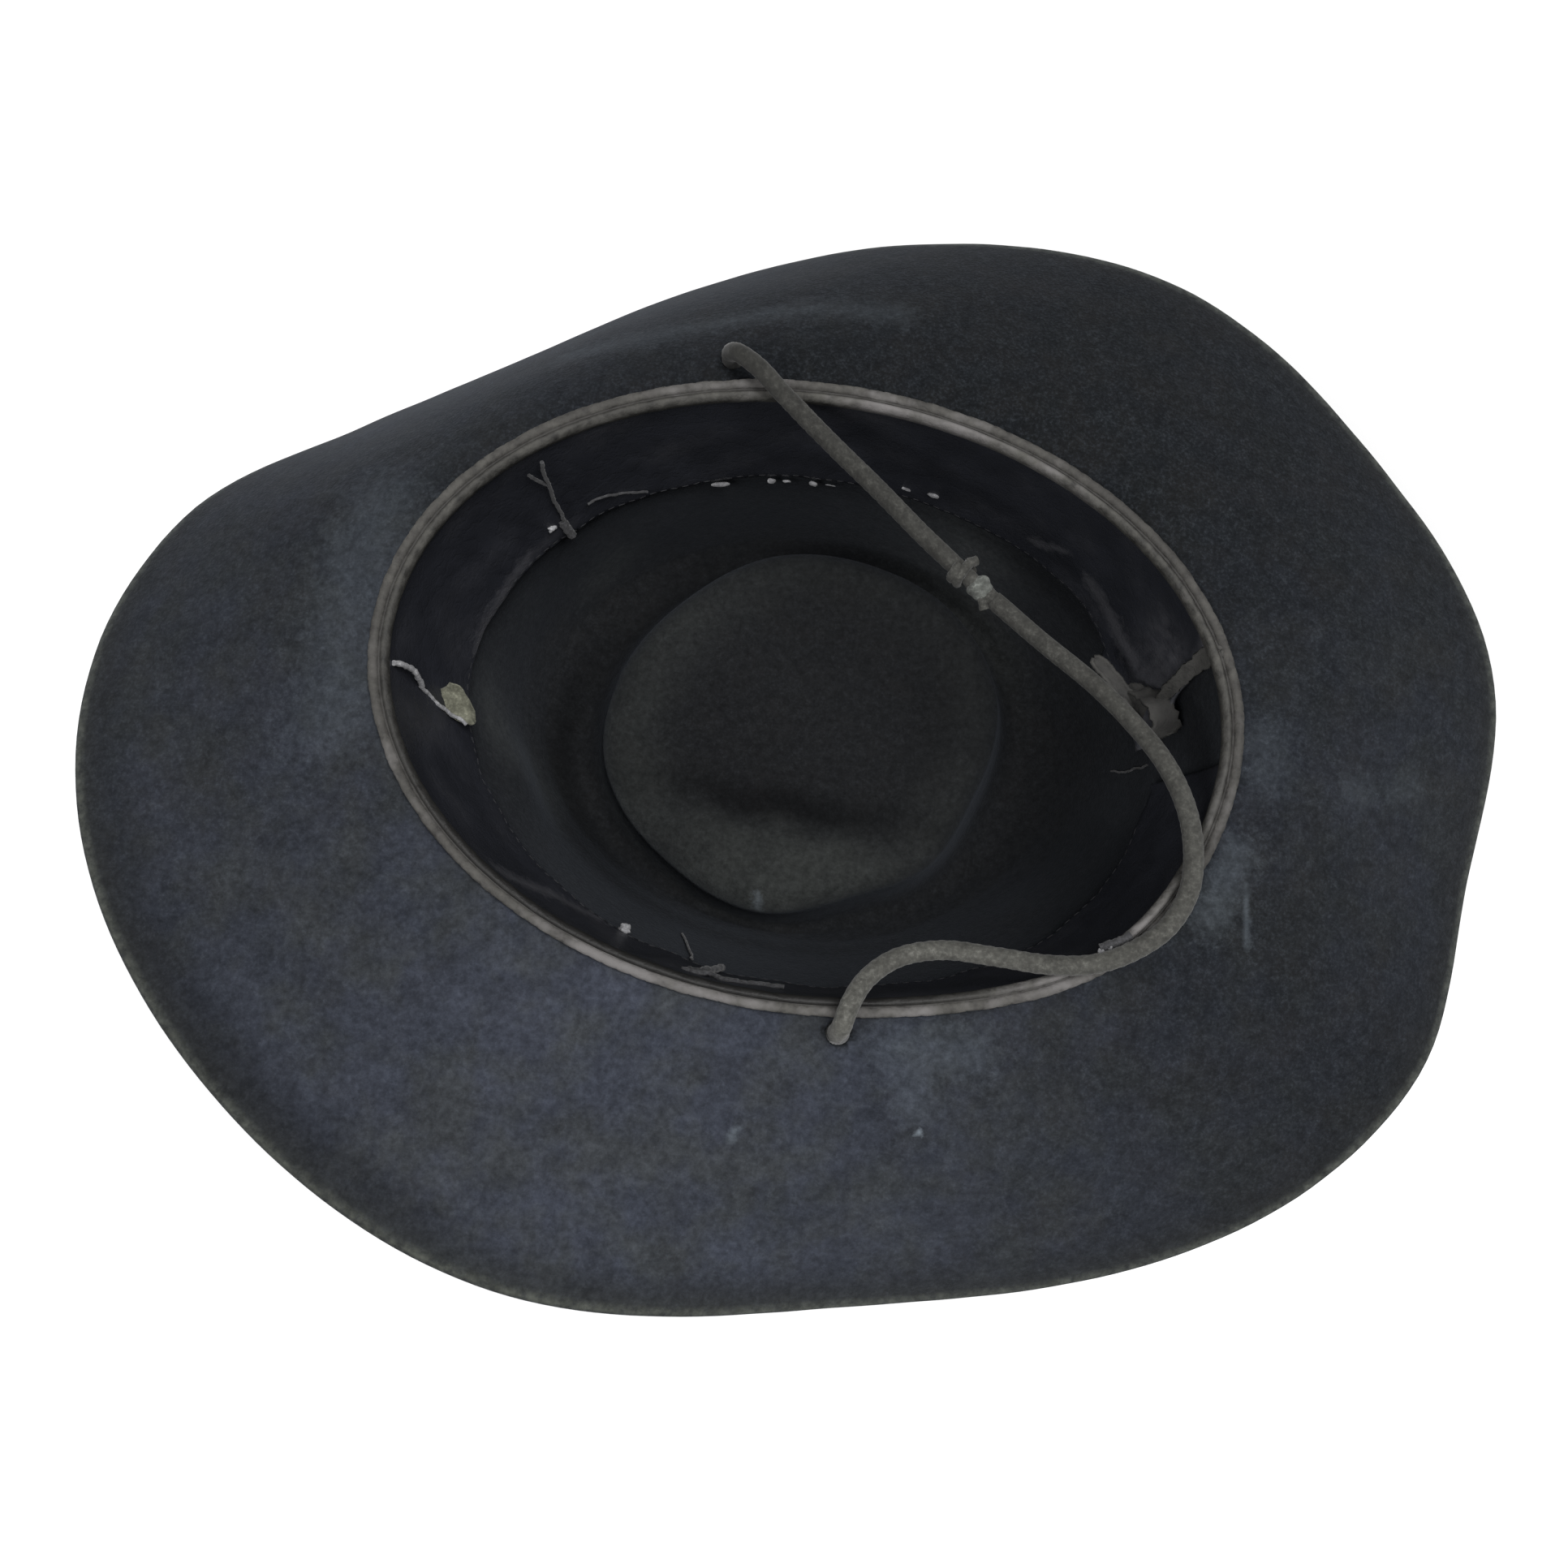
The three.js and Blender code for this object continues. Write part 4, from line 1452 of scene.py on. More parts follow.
@dataclass
class FeltBody:
    """The one felt that makes brim, crown and tip, with two holes for the cord."""

    form: HatForm
    columns: int = 256
    edge_steps: int = 6
    sway: float = 0.35
    sway_size: float = 38.0
    ripple: float = 0.14
    ripple_size: float = 11.0
    pressed_below: float = -98.0
    free_above: float = -80.0
    foot_shade: float = 54.0
    hole_radius: float = 2.9
    hole_sides: int = 24
    hole_height: float = 12.0
    hole_z: float = -3.0

    def upper_lines(self) -> list[list[Vector]]:
        """The upper face, a line for each column, from the brim's edge to the tip's middle."""
        inset = self.form.felt / 2
        return [self.form.felt_line(360 * i / self.columns, inset) for i in range(self.columns)]

    def ways_out(self, lines: list[list[Vector]]) -> list[list[Vector]]:
        """The direction out of the upper face at each of its points.

        Args:
            lines: the upper face's lines.

        Returns:
            Unit vectors in the same order.
        """
        rows = len(lines[0])
        ways = []
        for i, line in enumerate(lines):
            following, before = lines[(i + 1) % self.columns], lines[i - 1]
            made = []
            for j in range(rows):
                along = following[j] - before[j]
                inward = line[min(j + 1, rows - 1)] - line[max(j - 1, 0)]
                way = along.cross(inward)
                made.append(way.normalized() if way.length > 1e-9 else Vector((0, 0, 1)))
            ways.append(made)
        return ways

    def unevenness(self, place: Vector) -> float:
        """How far worn felt stands off its block at a place."""
        free = ease(place.z, self.pressed_below, self.free_above)
        slow = noise.noise(place / self.sway_size + Vector((7.1, 2.3, 5.9)))
        quick = noise.noise(place / self.ripple_size + Vector((1.7, 8.2, 3.3)))
        return free * (self.sway * slow + self.ripple * quick)

    def build(self, shop: Workshop, finish: bpy.types.Material) -> bpy.types.Object:
        """Builds the felt.

        Args:
            shop: makes the piece.
            finish: the felt's material.

        Returns:
            The piece.
        """
        lines = self.upper_lines()
        ways = self.ways_out(lines)
        rows = len(lines[0])
        thickness, edge = self.form.felt, self.edge_steps
        total = 2 * rows + edge - 1

        def place(i: int, j: int) -> Vector:
            """A point of the felt's skin: down the upper face, round the edge and back below."""
            line, way = lines[i % self.columns], ways[i % self.columns]
            row = rows - 1 - j if j < rows else max(0, j - rows - edge + 1)
            point, out = line[row], way[row]
            middle = point + out * (self.unevenness(point) - thickness / 2)
            if j < rows:
                return middle + out * (thickness / 2)
            if j < rows + edge - 1:
                angle = math.pi * (j - rows + 1) / edge
                beyond = (line[0] - line[1]).normalized()
                return middle + (out * math.cos(angle) + beyond * math.sin(angle)) * (thickness / 2)
            below = middle - out * (thickness / 2)
            below.z = max(below.z, -self.form.crest_flat)
            return below

        bm = bent_grid(self.columns, total - 1, place)
        bmesh.ops.recalc_face_normals(bm, faces=bm.faces)
        self.weather(bm, rows)
        piece = shop.piece("felt", bm, finish, Slot.FELT)
        for x, y in (self.form.far_hole, self.form.near_hole):
            self.punch(piece, shop.mouth, x, y)
        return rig.replaces(piece, "felt_body")

    def inside_dust_light_and_shade(self, place: Vector) -> tuple[float, float]:
        """The dust and painted light, and the painted shade, of the felt at a place inside the crown.

        Args:
            place: the place, in millimetres from the opening.

        Returns:
            The dust and painted light from 0 to 1, and the painted shade from -1 for light to 1 for dark.
        """
        x, y = place.x - self.form.tip_x, place.y - self.form.tip_y
        bearing = math.degrees(math.atan2(y, x))
        ratio = math.hypot(x, y) / read_round(TIP_OUTLINE, bearing, "reach")
        on_tip = ease(ratio, 1.06, 0.97)
        # Painted shade along the crease across the tip, and a painted highlight on the lip beyond it.
        beyond = self.form.crease_y - y + 3 * noise.noise(place / 16)
        crease = bump(x, self.form.crease_half) * bump(beyond + 4, 5)
        lip_highlight = bump(x, 44) * ease(beyond, -4, 9)
        rim = bump(ratio - 0.92 + 0.05 * noise.noise(place / 12), 0.2)
        rim *= 0.35 + 0.8 * bump(turn_between(215, bearing), 115)
        # Painted light and shade on the wall, painted light in the trench and painted shade on the tip, from the
        # tables.
        wall, trench_light, top = (
            sum(tone.at(bearing, ratio) for tone in table)
            for table in (WALL_PAINTED_LIGHT_AND_SHADE, TRENCH_PAINTED_LIGHT, TIP_PAINTED_SHADE)
        )
        # Painted shadow just below the band's foot, and painted light on the wall beyond the tip's rim.
        wall += 0.45 * bump(place.z + self.foot_shade, 7) - 0.1 * ease(ratio, 1.0, 1.12)
        # Painted shade in the crease and in the middle of the tip.
        top += 0.55 * crease + 0.1 * ease(ratio, 0.9, 0.5)
        # Dust and painted light: a lighter rim round the tip, the lip's painted highlight, painted light in the trench
        # and the pale trails.
        dust_and_painted_light = on_tip * max(0.22 * rim, 0.42 * lip_highlight) - 0.22 * trench_light
        for trail in INSIDE_PALE_TRAILS:
            off = off_line(place, Vector(trail.start), Vector(trail.end))
            dust_and_painted_light += trail.dust_and_painted_light * bump(off, trail.spread)
        return dust_and_painted_light, wall + trench_light + on_tip * top

    def weather(self, bm: bmesh.types.BMesh, rows: int) -> None:
        """Writes the felt's dust and painted light, warmth, wear and painted shade on its points.

        Args:
            bm: the felt, with its column and row layers.
            rows: how many rows its upper face has.
        """
        column, row = bm.verts.layers.int["column"], bm.verts.layers.int["row"]
        layers = {name: bm.verts.layers.float.new(name) for name in ("dust_and_painted_light", "warmth", "wear", "shade")}
        for vert in bm.verts:
            bearing = 360 * vert[column] / self.columns
            above = vert[row] < rows
            inward = rows - 1 - vert[row] if above else vert[row] - rows
            share = 1 - inward / self.form.brim_steps
            inside = ease(share, -0.1, -0.35)
            amount = read_round(BRIM_DUST_AND_LIGHT, bearing, "dust_and_painted_light")
            clear = ease(share, 1.02, 0.8)
            # Painted shade: a darker band just inside the brim's near-left edge.
            band = bump(turn_between(228, bearing), 26) * bump(share - 0.9, 0.09)
            inside_dust_and_light, dark = self.inside_dust_light_and_shade(vert.co) if inside > 0 else (0.0, 0.0)
            vert[layers["dust_and_painted_light"]] = blend(amount * (0.45 + 0.55 * clear), inside_dust_and_light, inside) if above else 0.1
            vert[layers["warmth"]] = max(inside, 0.7 * ease(share, 0.85, 1.0)) if above else 0.2
            vert[layers["wear"]] = 0.8 * ease(share, 0.965, 1.0) if inward >= 0 else 0.8
            # Painted shade, and painted light below 0; the underside gets painted shade throughout.
            vert[layers["shade"]] = blend(0.35 * band, dark, inside) if above else 0.3

    def punch(self, piece: bpy.types.Object, mouth: MouthFrame, x: float, y: float) -> None:
        """Cuts one round hole through the brim.

        Args:
            piece: the felt.
            mouth: the opening's place.
            x: the hole's place along the hat.
            y: the hole's place across the hat.
        """
        bm = bmesh.new()
        bmesh.ops.create_cone(
            bm,
            cap_ends=True,
            segments=self.hole_sides,
            radius1=self.hole_radius,
            radius2=self.hole_radius,
            depth=self.hole_height,
            matrix=Matrix.Translation((x, y, self.hole_z)),
        )
        bm.transform(mouth.matrix)
        mesh = mesh_from("punch", bm)
        tool = put_in_scene("punch", mesh)
        cut = piece.modifiers.new("hole", "BOOLEAN")
        cut.operation = "DIFFERENCE"
        cut.solver = "EXACT"
        cut.object = tool
        graph = bpy.context.evaluated_depsgraph_get()
        done = bpy.data.meshes.new_from_object(piece.evaluated_get(graph))
        piece.modifiers.remove(cut)
        old, piece.data = piece.data, done
        done.name = old.name = piece.name
        bpy.data.meshes.remove(old)
        bpy.data.objects.remove(tool)
        bpy.data.meshes.remove(mesh)


# The leather at the opening


class WearRow(NamedTuple):
    """How worn the two beads are at a bearing, and how much painted sparkle each has."""

    bearing: float
    reed: float
    bead: float
    reed_bright: float
    bead_bright: float


# The _bright columns give painted sparkle; on the near side the band's bead gets neither wear nor sparkle and stays
# dark.
BEAD_WEAR = (
    WearRow(0, 0.4, 0.4, 0.2, 0.1),
    WearRow(20, 0.55, 0.6, 0.15, 0.1),
    WearRow(45, 0.4, 0.6, 0.05, 0.2),
    WearRow(75, 0.6, 0.95, 0.35, 0.75),
    WearRow(95, 0.6, 0.75, 0.45, 0.4),
    WearRow(112, 0.6, 0.5, 0.3, 0.1),
    WearRow(135, 0.6, 0.5, 0.08, 0.08),
    WearRow(165, 0.65, 0.5, 0.05, 0.05),
    WearRow(185, 0.5, 0.35, 0.1, 0.05),
    WearRow(207, 0.6, 0.15, 0.35, 0),
    WearRow(232, 0.6, 0, 0.2, 0),
    WearRow(243, 0.7, 0, 0.4, 0),
    WearRow(251, 0.95, 0, 1, 0),
    WearRow(264, 0.85, 0, 0.8, 0),
    WearRow(290, 0.75, 0.05, 0.55, 0.05),
    WearRow(315, 0.7, 0.85, 0.45, 0.6),
    WearRow(340, 0.5, 0.6, 0.3, 0.3),
)


@dataclass
class ReedBead:
    """The outer of the two beads that run round the opening."""

    form: HatForm
    radius: float = 1.3
    out: float = 0.3
    height: float = 0.7
    columns: int = 1080
    sides: int = 14
    stitches: int = 180
    tuck: float = 0.8
    pinch: float = 0.1
    ragged: float = 0.3
    tuck_bearing: float = 262.0
    tuck_spread: float = 60.0
    seam_radius: float = 0.42
    seam_out: float = -1.25
    seam_up: float = 0.35
    seam_ragged: float = 0.3
    seam_sides: int = 8
    # The seam takes this share of the reed's wear and sparkle, so it stays darker than the beads: painted shade in the
    # groove between them.
    seam_shaded_share: float = 0.35

    def tucked(self, bearing: float) -> float:
        """How far the bead is drawn in at a bearing."""
        return self.tuck * bump(turn_between(self.tuck_bearing, bearing), self.tuck_spread)

    def build(self, shop: Workshop, finish: bpy.types.Material) -> bpy.types.Object:
        """Builds the bead, pinched a little by each stitch that holds it.

        Args:
            shop: makes the piece.
            finish: its material.

        Returns:
            The piece.
        """

        def place(i: int, j: int) -> Vector:
            """A point of the bead's skin."""
            bearing = 360 * (j % self.columns) / self.columns
            turn = 2 * math.pi * (i % self.sides) / self.sides
            pull = self.pinch * max(0.0, math.cos(math.radians(bearing * self.stitches))) ** 3
            radius = self.radius - pull + self.ragged * uneven(self.form.near_mouth(bearing, 0, 0), turn)
            out = self.out - self.tucked(bearing) + radius * math.cos(turn)
            return self.form.near_mouth(bearing, out, self.height + radius * math.sin(turn))

        bm = bent_grid(self.sides, self.columns, place)
        bmesh.ops.recalc_face_normals(bm, faces=bm.faces)
        write_bead_wear(bm, self.columns, "reed")
        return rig.replaces(shop.piece("reed", bm, finish, Slot.REED), "sweatband_reed")

    def build_seam(self, shop: Workshop, finish: bpy.types.Material) -> None:
        """Builds the rolled seam that fills the gap between the reed and the band's bead.

        Args:
            shop: makes the piece.
            finish: its material.
        """

        def place(i: int, j: int) -> Vector:
            """A point of the seam's skin."""
            bearing = 360 * (j % self.columns) / self.columns
            turn = 2 * math.pi * (i % self.seam_sides) / self.seam_sides
            ragged = self.seam_ragged * uneven(self.form.near_mouth(bearing, 0, 0), turn)
            radius = self.seam_radius * (1 + ragged)
            out = self.seam_out - self.tucked(bearing) / 2 + radius * math.cos(turn)
            height = self.height + self.seam_up + radius * math.sin(turn)
            return self.form.near_mouth(bearing, out, height)

        bm = bent_grid(self.seam_sides, self.columns, place)
        bmesh.ops.recalc_face_normals(bm, faces=bm.faces)
        write_bead_wear(bm, self.columns, "reed", self.seam_shaded_share)
        shop.piece("reed_seam", bm, finish, Slot.REED)


def uneven(place: Vector, turn: float) -> float:
    """How uneven an old bead is, from about -1 to 1, at a place along it and a turn round it."""
    ring = Vector((math.cos(turn), math.sin(turn), 0))
    return 0.6 * noise.noise(place / 6 + ring * 0.5) + 0.4 * noise.noise(place / 1.9 + ring * 1.2)


def write_bead_wear(bm: bmesh.types.BMesh, columns: int, bead: str, share: float = 1.0) -> None:
    """Writes a ring's wear and painted sparkle on its points.

    Args:
        bm: a ring whose rows run round the hat.
        columns: the steps round it.
        bead: the column of the wear table that holds its wear.
        share: how much of the table's wear and painted sparkle it takes.
    """
    row = bm.verts.layers.int["row"]
    wear, painted_sparkle = (bm.verts.layers.float.new(name) for name in ("wear", "painted_sparkle"))
    for vert in bm.verts:
        bearing = 360 * vert[row] / columns
        vert[wear] = share * read_round(BEAD_WEAR, bearing, bead)
        vert[painted_sparkle] = share * max(0.0, read_round(BEAD_WEAR, bearing, bead + "_bright"))


class BeadCorner(NamedTuple):
    """A corner of the sweatband's bead in section."""

    out: float
    height: float


BAND_BEAD = (
    BeadCorner(-3.1, -2),
    BeadCorner(-3.7, 0.4),
    BeadCorner(-3.2, 1.7),
    BeadCorner(-2.4, 2.1),
    BeadCorner(-1.7, 1.5),
    BeadCorner(-1.5, 0.2),
    BeadCorner(-1.9, -2),
)


class BandEdge(NamedTuple):
    """The lower edge of the band: its depth, and how far it leans off the wall."""

    bearing: float
    depth: float
    lean: float


BAND_EDGE = (
    BandEdge(-20, 49.5, 0),
    BandEdge(-9, 49, 0),
    BandEdge(-2, 44, 1),
    BandEdge(7, 38, 7),
    BandEdge(15, 44, 7),
    BandEdge(26, 49, 6),
    BandEdge(40, 50, 1),
    BandEdge(80, 50, 0.6),
    BandEdge(120, 50, 0.6),
    BandEdge(150, 50, 1.3),
    BandEdge(180, 50, 1.5),
    BandEdge(215, 49, 2.5),
    BandEdge(245, 50, 1),
    BandEdge(300, 50, 0.4),
)


class TearRow(NamedTuple):
    """The torn end of the band: the bearing that it reaches at a depth."""

    depth: float
    bearing: float


TEAR = (
    TearRow(0, 21),
    TearRow(4, 19.5),
    TearRow(21, 15),
    TearRow(26, 13),
    TearRow(37, 7),
    TearRow(46, 5.5),
)


@dataclass
class Sweatband:
    """The leather band: a folded bead and a thin sheet down the wall, torn at the back."""

    form: HatForm
    bead_ragged: float = 0.22
    thickness: float = 1.1
    gap: float = 0.3
    foot: float = 0.93
    sunk: float = 1.1
    top: float = 1.0
    far_end: float = 358.5
    ring_columns: int = 900
    sheet_columns: int = 560
    sheet_rows: int = 30
    curl: float = 1.0
    curl_columns: int = 9
    rag: float = 1.5
    rag_columns: int = 8
    wrinkle: float = 0.7

    def build(self, shop: Workshop, bead: bpy.types.Material, sheet: bpy.types.Material) -> None:
        """Builds the bead and the sheet.

        Args:
            shop: makes the pieces.
            bead: the bead's material.
            sheet: the sheet's material.
        """
        loop = [Vector((corner.out, corner.height, 0)) for corner in BAND_BEAD]
        section = curve_through([*loop, loop[0]], 3)[:-1]

        def place(i: int, j: int) -> Vector:
            """A point of the bead's skin."""
            bearing = 360 * (j % self.ring_columns) / self.ring_columns
            corner = section[i % len(section)]
            turn = 2 * math.pi * i / len(section)
            shake = self.bead_ragged * uneven(self.form.near_mouth(bearing, 0, 9), turn)
            return self.form.near_mouth(bearing, corner.x - shake, corner.y + shake)

        bm = bent_grid(len(section), self.ring_columns, place)
        bmesh.ops.recalc_face_normals(bm, faces=bm.faces)
        write_bead_wear(bm, self.ring_columns, "bead")
        shop.piece("band_bead", bm, bead, Slot.BAND)

        bm = bent_grid(self.sheet_columns, self.sheet_rows, self.sheet_place)
        self.weather(bm)
        bmesh.ops.recalc_face_normals(bm, faces=bm.faces)
        piece = shop.piece("band_sheet", bm, sheet, Slot.BAND)
        thicken(piece, self.thickness)
        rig.replaces(piece, "sweatband")

    def sheet_place(self, i: int, j: int) -> Vector:
        """A point in the middle of the sheet, by column and row of its grid."""
        share = j / self.sheet_rows
        torn = read_down(TEAR, "depth", "bearing", TEAR[-1].depth * share, 10)
        bearing = blend(torn, self.far_end, i / self.sheet_columns)
        return self.band_point(bearing, share, i)

    def band_point(self, bearing: float, share: float, i: int = -1) -> Vector:
        """A point in the middle of the sheet.

        Args:
            bearing: where round the hat.
            share: how far down, from 0 at the bead to 1 at the lower edge.
            i: the grid's column, which says how near the torn end is, or -1 off the grid.

        Returns:
            The point.
        """
        edge = read_round(BAND_EDGE, bearing, "depth")
        lean = max(0.0, read_round(BAND_EDGE, bearing, "lean"))
        depth = blend(self.top, edge, share)
        wave = noise.noise(Vector((bearing / 7, depth / 30, 3.1)))
        wave += 0.4 * noise.noise(Vector((bearing / 2, depth / 9, 8)))
        inward = self.gap + self.thickness / 2 + lean * share**2
        flat = 1 - 0.7 * ease(share, 0.9, 1.0)
        inward += self.wrinkle * ease(share, 0.1, 0.6) * flat * max(0.0, 0.4 + wave)
        if i >= 0:
            inward = blend(inward, -self.sunk, ease(share, self.foot, 1.0) * ease(lean, 5, 3))
            inward += self.curl * ease(i, self.curl_columns, 0) * ease(share, 0.05, 0.3)
            ragged = self.rag * noise.noise(Vector((i / 2, depth / 3, 5.5)))
            depth += ease(i, self.rag_columns, 0) * ragged
        return self.form.wall_point(bearing, depth, inward)

    def weather(self, bm: bmesh.types.BMesh) -> None:
        """Writes the sheet's wear on its points: its torn end, its foot and rubbed patches."""
        column, row = bm.verts.layers.int["column"], bm.verts.layers.int["row"]
        wear = bm.verts.layers.float.new("wear")
        for vert in bm.verts:
            share = vert[row] / self.sheet_rows
            torn = ease(vert[column], 7, 0)
            pale_amount = 0.3 * max(0.0, noise.noise(vert.co / 14))
            near_tear = 0.55 * ease(vert[column], 34, 12) * ease(share, 0.1, 0.35)
            vert[wear] = max(torn, 0.2 * ease(share, 0.95, 1.0), pale_amount, near_tear)


# Stitches and torn leather


class Glint(NamedTuple):
    """A pale thread end on the band's foot, by bearing and depth; its pale colour is partly a painted glint."""

    bearing: float
    depth: float
    length: float
    width: float
    tilt: float


GLINTS = (
    Glint(112.1, 49.4, 5.8, 2.4, 14),
    Glint(102.9, 49.6, 2.4, 2.6, 80),
    Glint(100.3, 49.8, 2.6, 1.3, 10),
    Glint(95.6, 50.3, 2.8, 2.3, 60),
    Glint(92.6, 50.0, 3.4, 0.6, 5),
    Glint(79.6, 40.6, 3.0, 1.2, 10),
    Glint(74.9, 39.7, 3.6, 2.0, -8),
)


@dataclass
class BandStitches:
    """The row of stitches near the band's foot, and its pale loose ends, whose pale colour is partly a painted glint.
    """

    form: HatForm
    band: Sweatband
    pitch: float = 3.2
    length: float = 2.0
    width: float = 0.4
    up: float = 4.2
    start: float = 27.0
    end: float = 350.0
    most_lift: float = 0.15
    tilt: float = 8.0
    fray: float = 0.3

    def stitch(
        self, bearing: float, depth: float, size: tuple[float, float], tilt: float
    ) -> bmesh.types.BMesh:
        """One stitch that lies on the band's inner face.

        Args:
            bearing: where round the hat.
            depth: how far below the opening.
            size: its length and width.
            tilt: how far it leans from the row, in degrees.

        Returns:
            The stitch.
        """
        edge = read_round(BAND_EDGE, bearing, "depth")
        share = min(1.0, (depth - self.band.top) / (edge - self.band.top))
        here = self.band.band_point(bearing, share)
        ahead = (self.band.band_point(bearing + 0.5, share) - here).normalized()
        up = (self.band.band_point(bearing, share - 0.05) - here).normalized()
        inward = ahead.cross(up).normalized()
        if inward.dot(here) > 0:
            inward.negate()
        turn = Matrix((ahead, up, inward)).transposed().to_4x4()
        length, width = size
        lift = self.band.thickness / 2 + min(self.most_lift, width / 8)
        lean = Matrix.Rotation(math.radians(tilt), 4, "Z")
        shape = Matrix.Diagonal((length / 2, width / 2, width / 4, 1))
        bm = bmesh.new()
        matrix = Matrix.Translation(here + inward * lift) @ turn @ lean @ shape
        bmesh.ops.create_icosphere(bm, subdivisions=2, radius=1, matrix=matrix)
        return bm

    def build(self, shop: Workshop, thread: bpy.types.Material, pale: bpy.types.Material) -> None:
        """Builds the row and the pale ends.

        Args:
            shop: makes the pieces.
            thread: the row's material.
            pale: the pale ends' material.
        """
        row = []
        bearing = self.start
        while bearing < self.end:
            edge = read_round(BAND_EDGE, bearing, "depth")
            tilt = self.tilt * noise.noise(Vector((bearing, 2, 1)))
            row.append(self.stitch(bearing, edge - self.up, (self.length, self.width), tilt))
            arm = self.form.wall_point(bearing + 1, edge) - self.form.wall_point(bearing, edge)
            bearing += self.pitch / arm.length
        shop.piece("band_stitches", joined(row), thread, Slot.BAND)
        ends = []
        # Pale thread ends, their pale colour standing partly for glints of light on them.
        for glint in GLINTS:
            bm = self.stitch(glint.bearing, glint.depth, (glint.length, glint.width), glint.tilt)
            for vert in bm.verts:
                vert.co += noise.noise_vector(vert.co / 0.8) * self.fray
            ends.append(bm)
        shop.piece("glinting_thread_ends", joined(ends), pale)


class Strip(NamedTuple):
    """A torn strip of leather: its half widths at both ends, curl, wear and the points it passes."""

    half_width: float
    far_width: float
    curl: float
    wear: float
    route: tuple[tuple[float, float, float], ...]


TORN_STRIPS = (
    Strip(
        2.0, 2.0, 1.0, 0.3,
        ((73.9, 27.6, -30), (78, 24.3, -30.5), (83, 20.4, -32), (88, 17, -34), (91.6, 14.2, -37.5)),
    ),
    Strip(
        2.4, 1.5, 0.3, 0.85,
        ((98, 25.2, 2.4), (95.6, 24, -4), (93.6, 21.6, -12), (92.3, 19.4, -19), (91.2, 17.2, -26)),
    ),
    Strip(
        1.6, 4.6, 0.5, 0.25,
        ((85, 22.6, -34.5), (88, 19.6, -29), (90.8, 16.3, -23.5), (93, 12.8, -24), (94.6, 9.3, -29)),
    ),
)


@dataclass
class TornSeam:
    """The leather strips that hang loose where the band's seam is torn."""

    thickness: float = 0.9
    rows: int = 30
    columns: int = 8
    round_rows: int = 4

    def strip(self, shape: Strip) -> bmesh.types.BMesh:
        """One strip, round at its ends and curled along its sides.

        Args:
            shape: the strip's sizes.

        Returns:
            The strip, which has no thickness yet.
        """
        line = curve_through([Vector(p) for p in shape.route], 10)
        line = [line[round(k * (len(line) - 1) / self.rows)] for k in range(self.rows + 1)]

        def place(i: int, j: int) -> Vector:
            """A point of the strip."""
            ahead = (line[min(j + 1, self.rows)] - line[max(j - 1, 0)]).normalized()
            across = ahead.cross(Vector((0, 0, 1))).normalized()
            up = across.cross(ahead)
            side = 2 * i / self.columns - 1
            tip = min(j, self.rows - j) / self.round_rows
            end = math.sqrt(max(0.02, 1 - max(0.0, 1 - tip) ** 2))
            half = blend(shape.half_width, shape.far_width, j / self.rows)
            ragged = 1 + 0.2 * noise.noise(Vector((side, line[j].x / 3, line[j].z / 3)))
            ragged += 0.3 * noise.noise(Vector((2 * side, line[j].x / 0.9, line[j].z / 0.9)))
            crumple = shape.curl * side * side + 0.5 * noise.noise(line[j] / 3.2 + Vector((side, 0, 4)))
            reach = 1.8 * (j / self.rows) ** 3 * noise.noise(Vector((2.6 * side, shape.far_width, 7)))
            return line[j] + across * (side * half * end * ragged) + up * crumple + ahead * reach

        bm = bent_grid(self.columns, self.rows, place)
        wear = bm.verts.layers.float.new("wear")
        column = bm.verts.layers.int["column"]
        for vert in bm.verts:
            vert[wear] = shape.wear + 0.3 * abs(2 * vert[column] / self.columns - 1)
        bmesh.ops.recalc_face_normals(bm, faces=bm.faces)
        return bm

    def build(self, shop: Workshop, finish: bpy.types.Material) -> None:
        """Builds the strips.

        Args:
            shop: makes the piece.
            finish: their material.
        """
        strips = joined([self.strip(shape) for shape in TORN_STRIPS])
        thicken(shop.piece("torn_strips", strips, finish, Slot.BAND), self.thickness)


# The chin cord

FAR_ROUTE = (
    (-31.9, 81.2, -3.2),
    (-31.8, 81.2, 1.8),
    (-29.5, 79.5, 6),
    (-24, 76, 7.4),
    (-16.5, 70.5, 5.9),
    (-4, 62, 2.6),
    (11, 52.5, -1.5),
    (23.5, 44, -4.5),
    (34.1, 37.1, -6.2),
)
NEAR_ROUTE = (
    (42.9, 31.3, -6.5),
    (56.5, 22.5, -6.5),
    (70, 13.5, -4.5),
    (80, 4.5, -1.2),
    (88, -5, 2.4),
    (93.5, -15.5, 5),
    (96, -25.5, 5.8),
    (96, -34.5, 5.7),
    (92.5, -43, 5.3),
    (86, -49.5, 5.3),
    (77, -54.5, 5.4),
    (66, -56.5, 4.2),
    (54, -56.5, 1.2),
    (42, -57, 0.2),
    (32, -60.5, 1.4),
    (25.5, -66.5, 4.4),
    (22.5, -73, 7),
    (21.5, -78, 6),
    (21, -79.6, 2),
    (21, -79.6, -2.6),
)


class CordDarkening(NamedTuple):
    """How much darker the cord is so far along it, from -1 for lighter to 1 for darker."""

    along: float
    dark: float


# Dirt and painted shade where the cord rises out of the far hole.
FAR_DARKENING = (
    CordDarkening(0, 0.8),
    CordDarkening(9, 0.7),
    CordDarkening(17, 0.5),
    CordDarkening(28, 0.35),
    CordDarkening(45, 0.28),
    CordDarkening(100, 0.2),
)
NEAR_DARKENING = (
    CordDarkening(0, 0.18),
    CordDarkening(50, 0.08),
    CordDarkening(80, -0.2),
    CordDarkening(120, -0.3),
    CordDarkening(140, -0.55),
    CordDarkening(170, -0.7),
    CordDarkening(188, -1),
)
CROWN_DARKENING = (CordDarkening(0, 0.3), CordDarkening(150, 0.3), CordDarkening(300, 0.3))


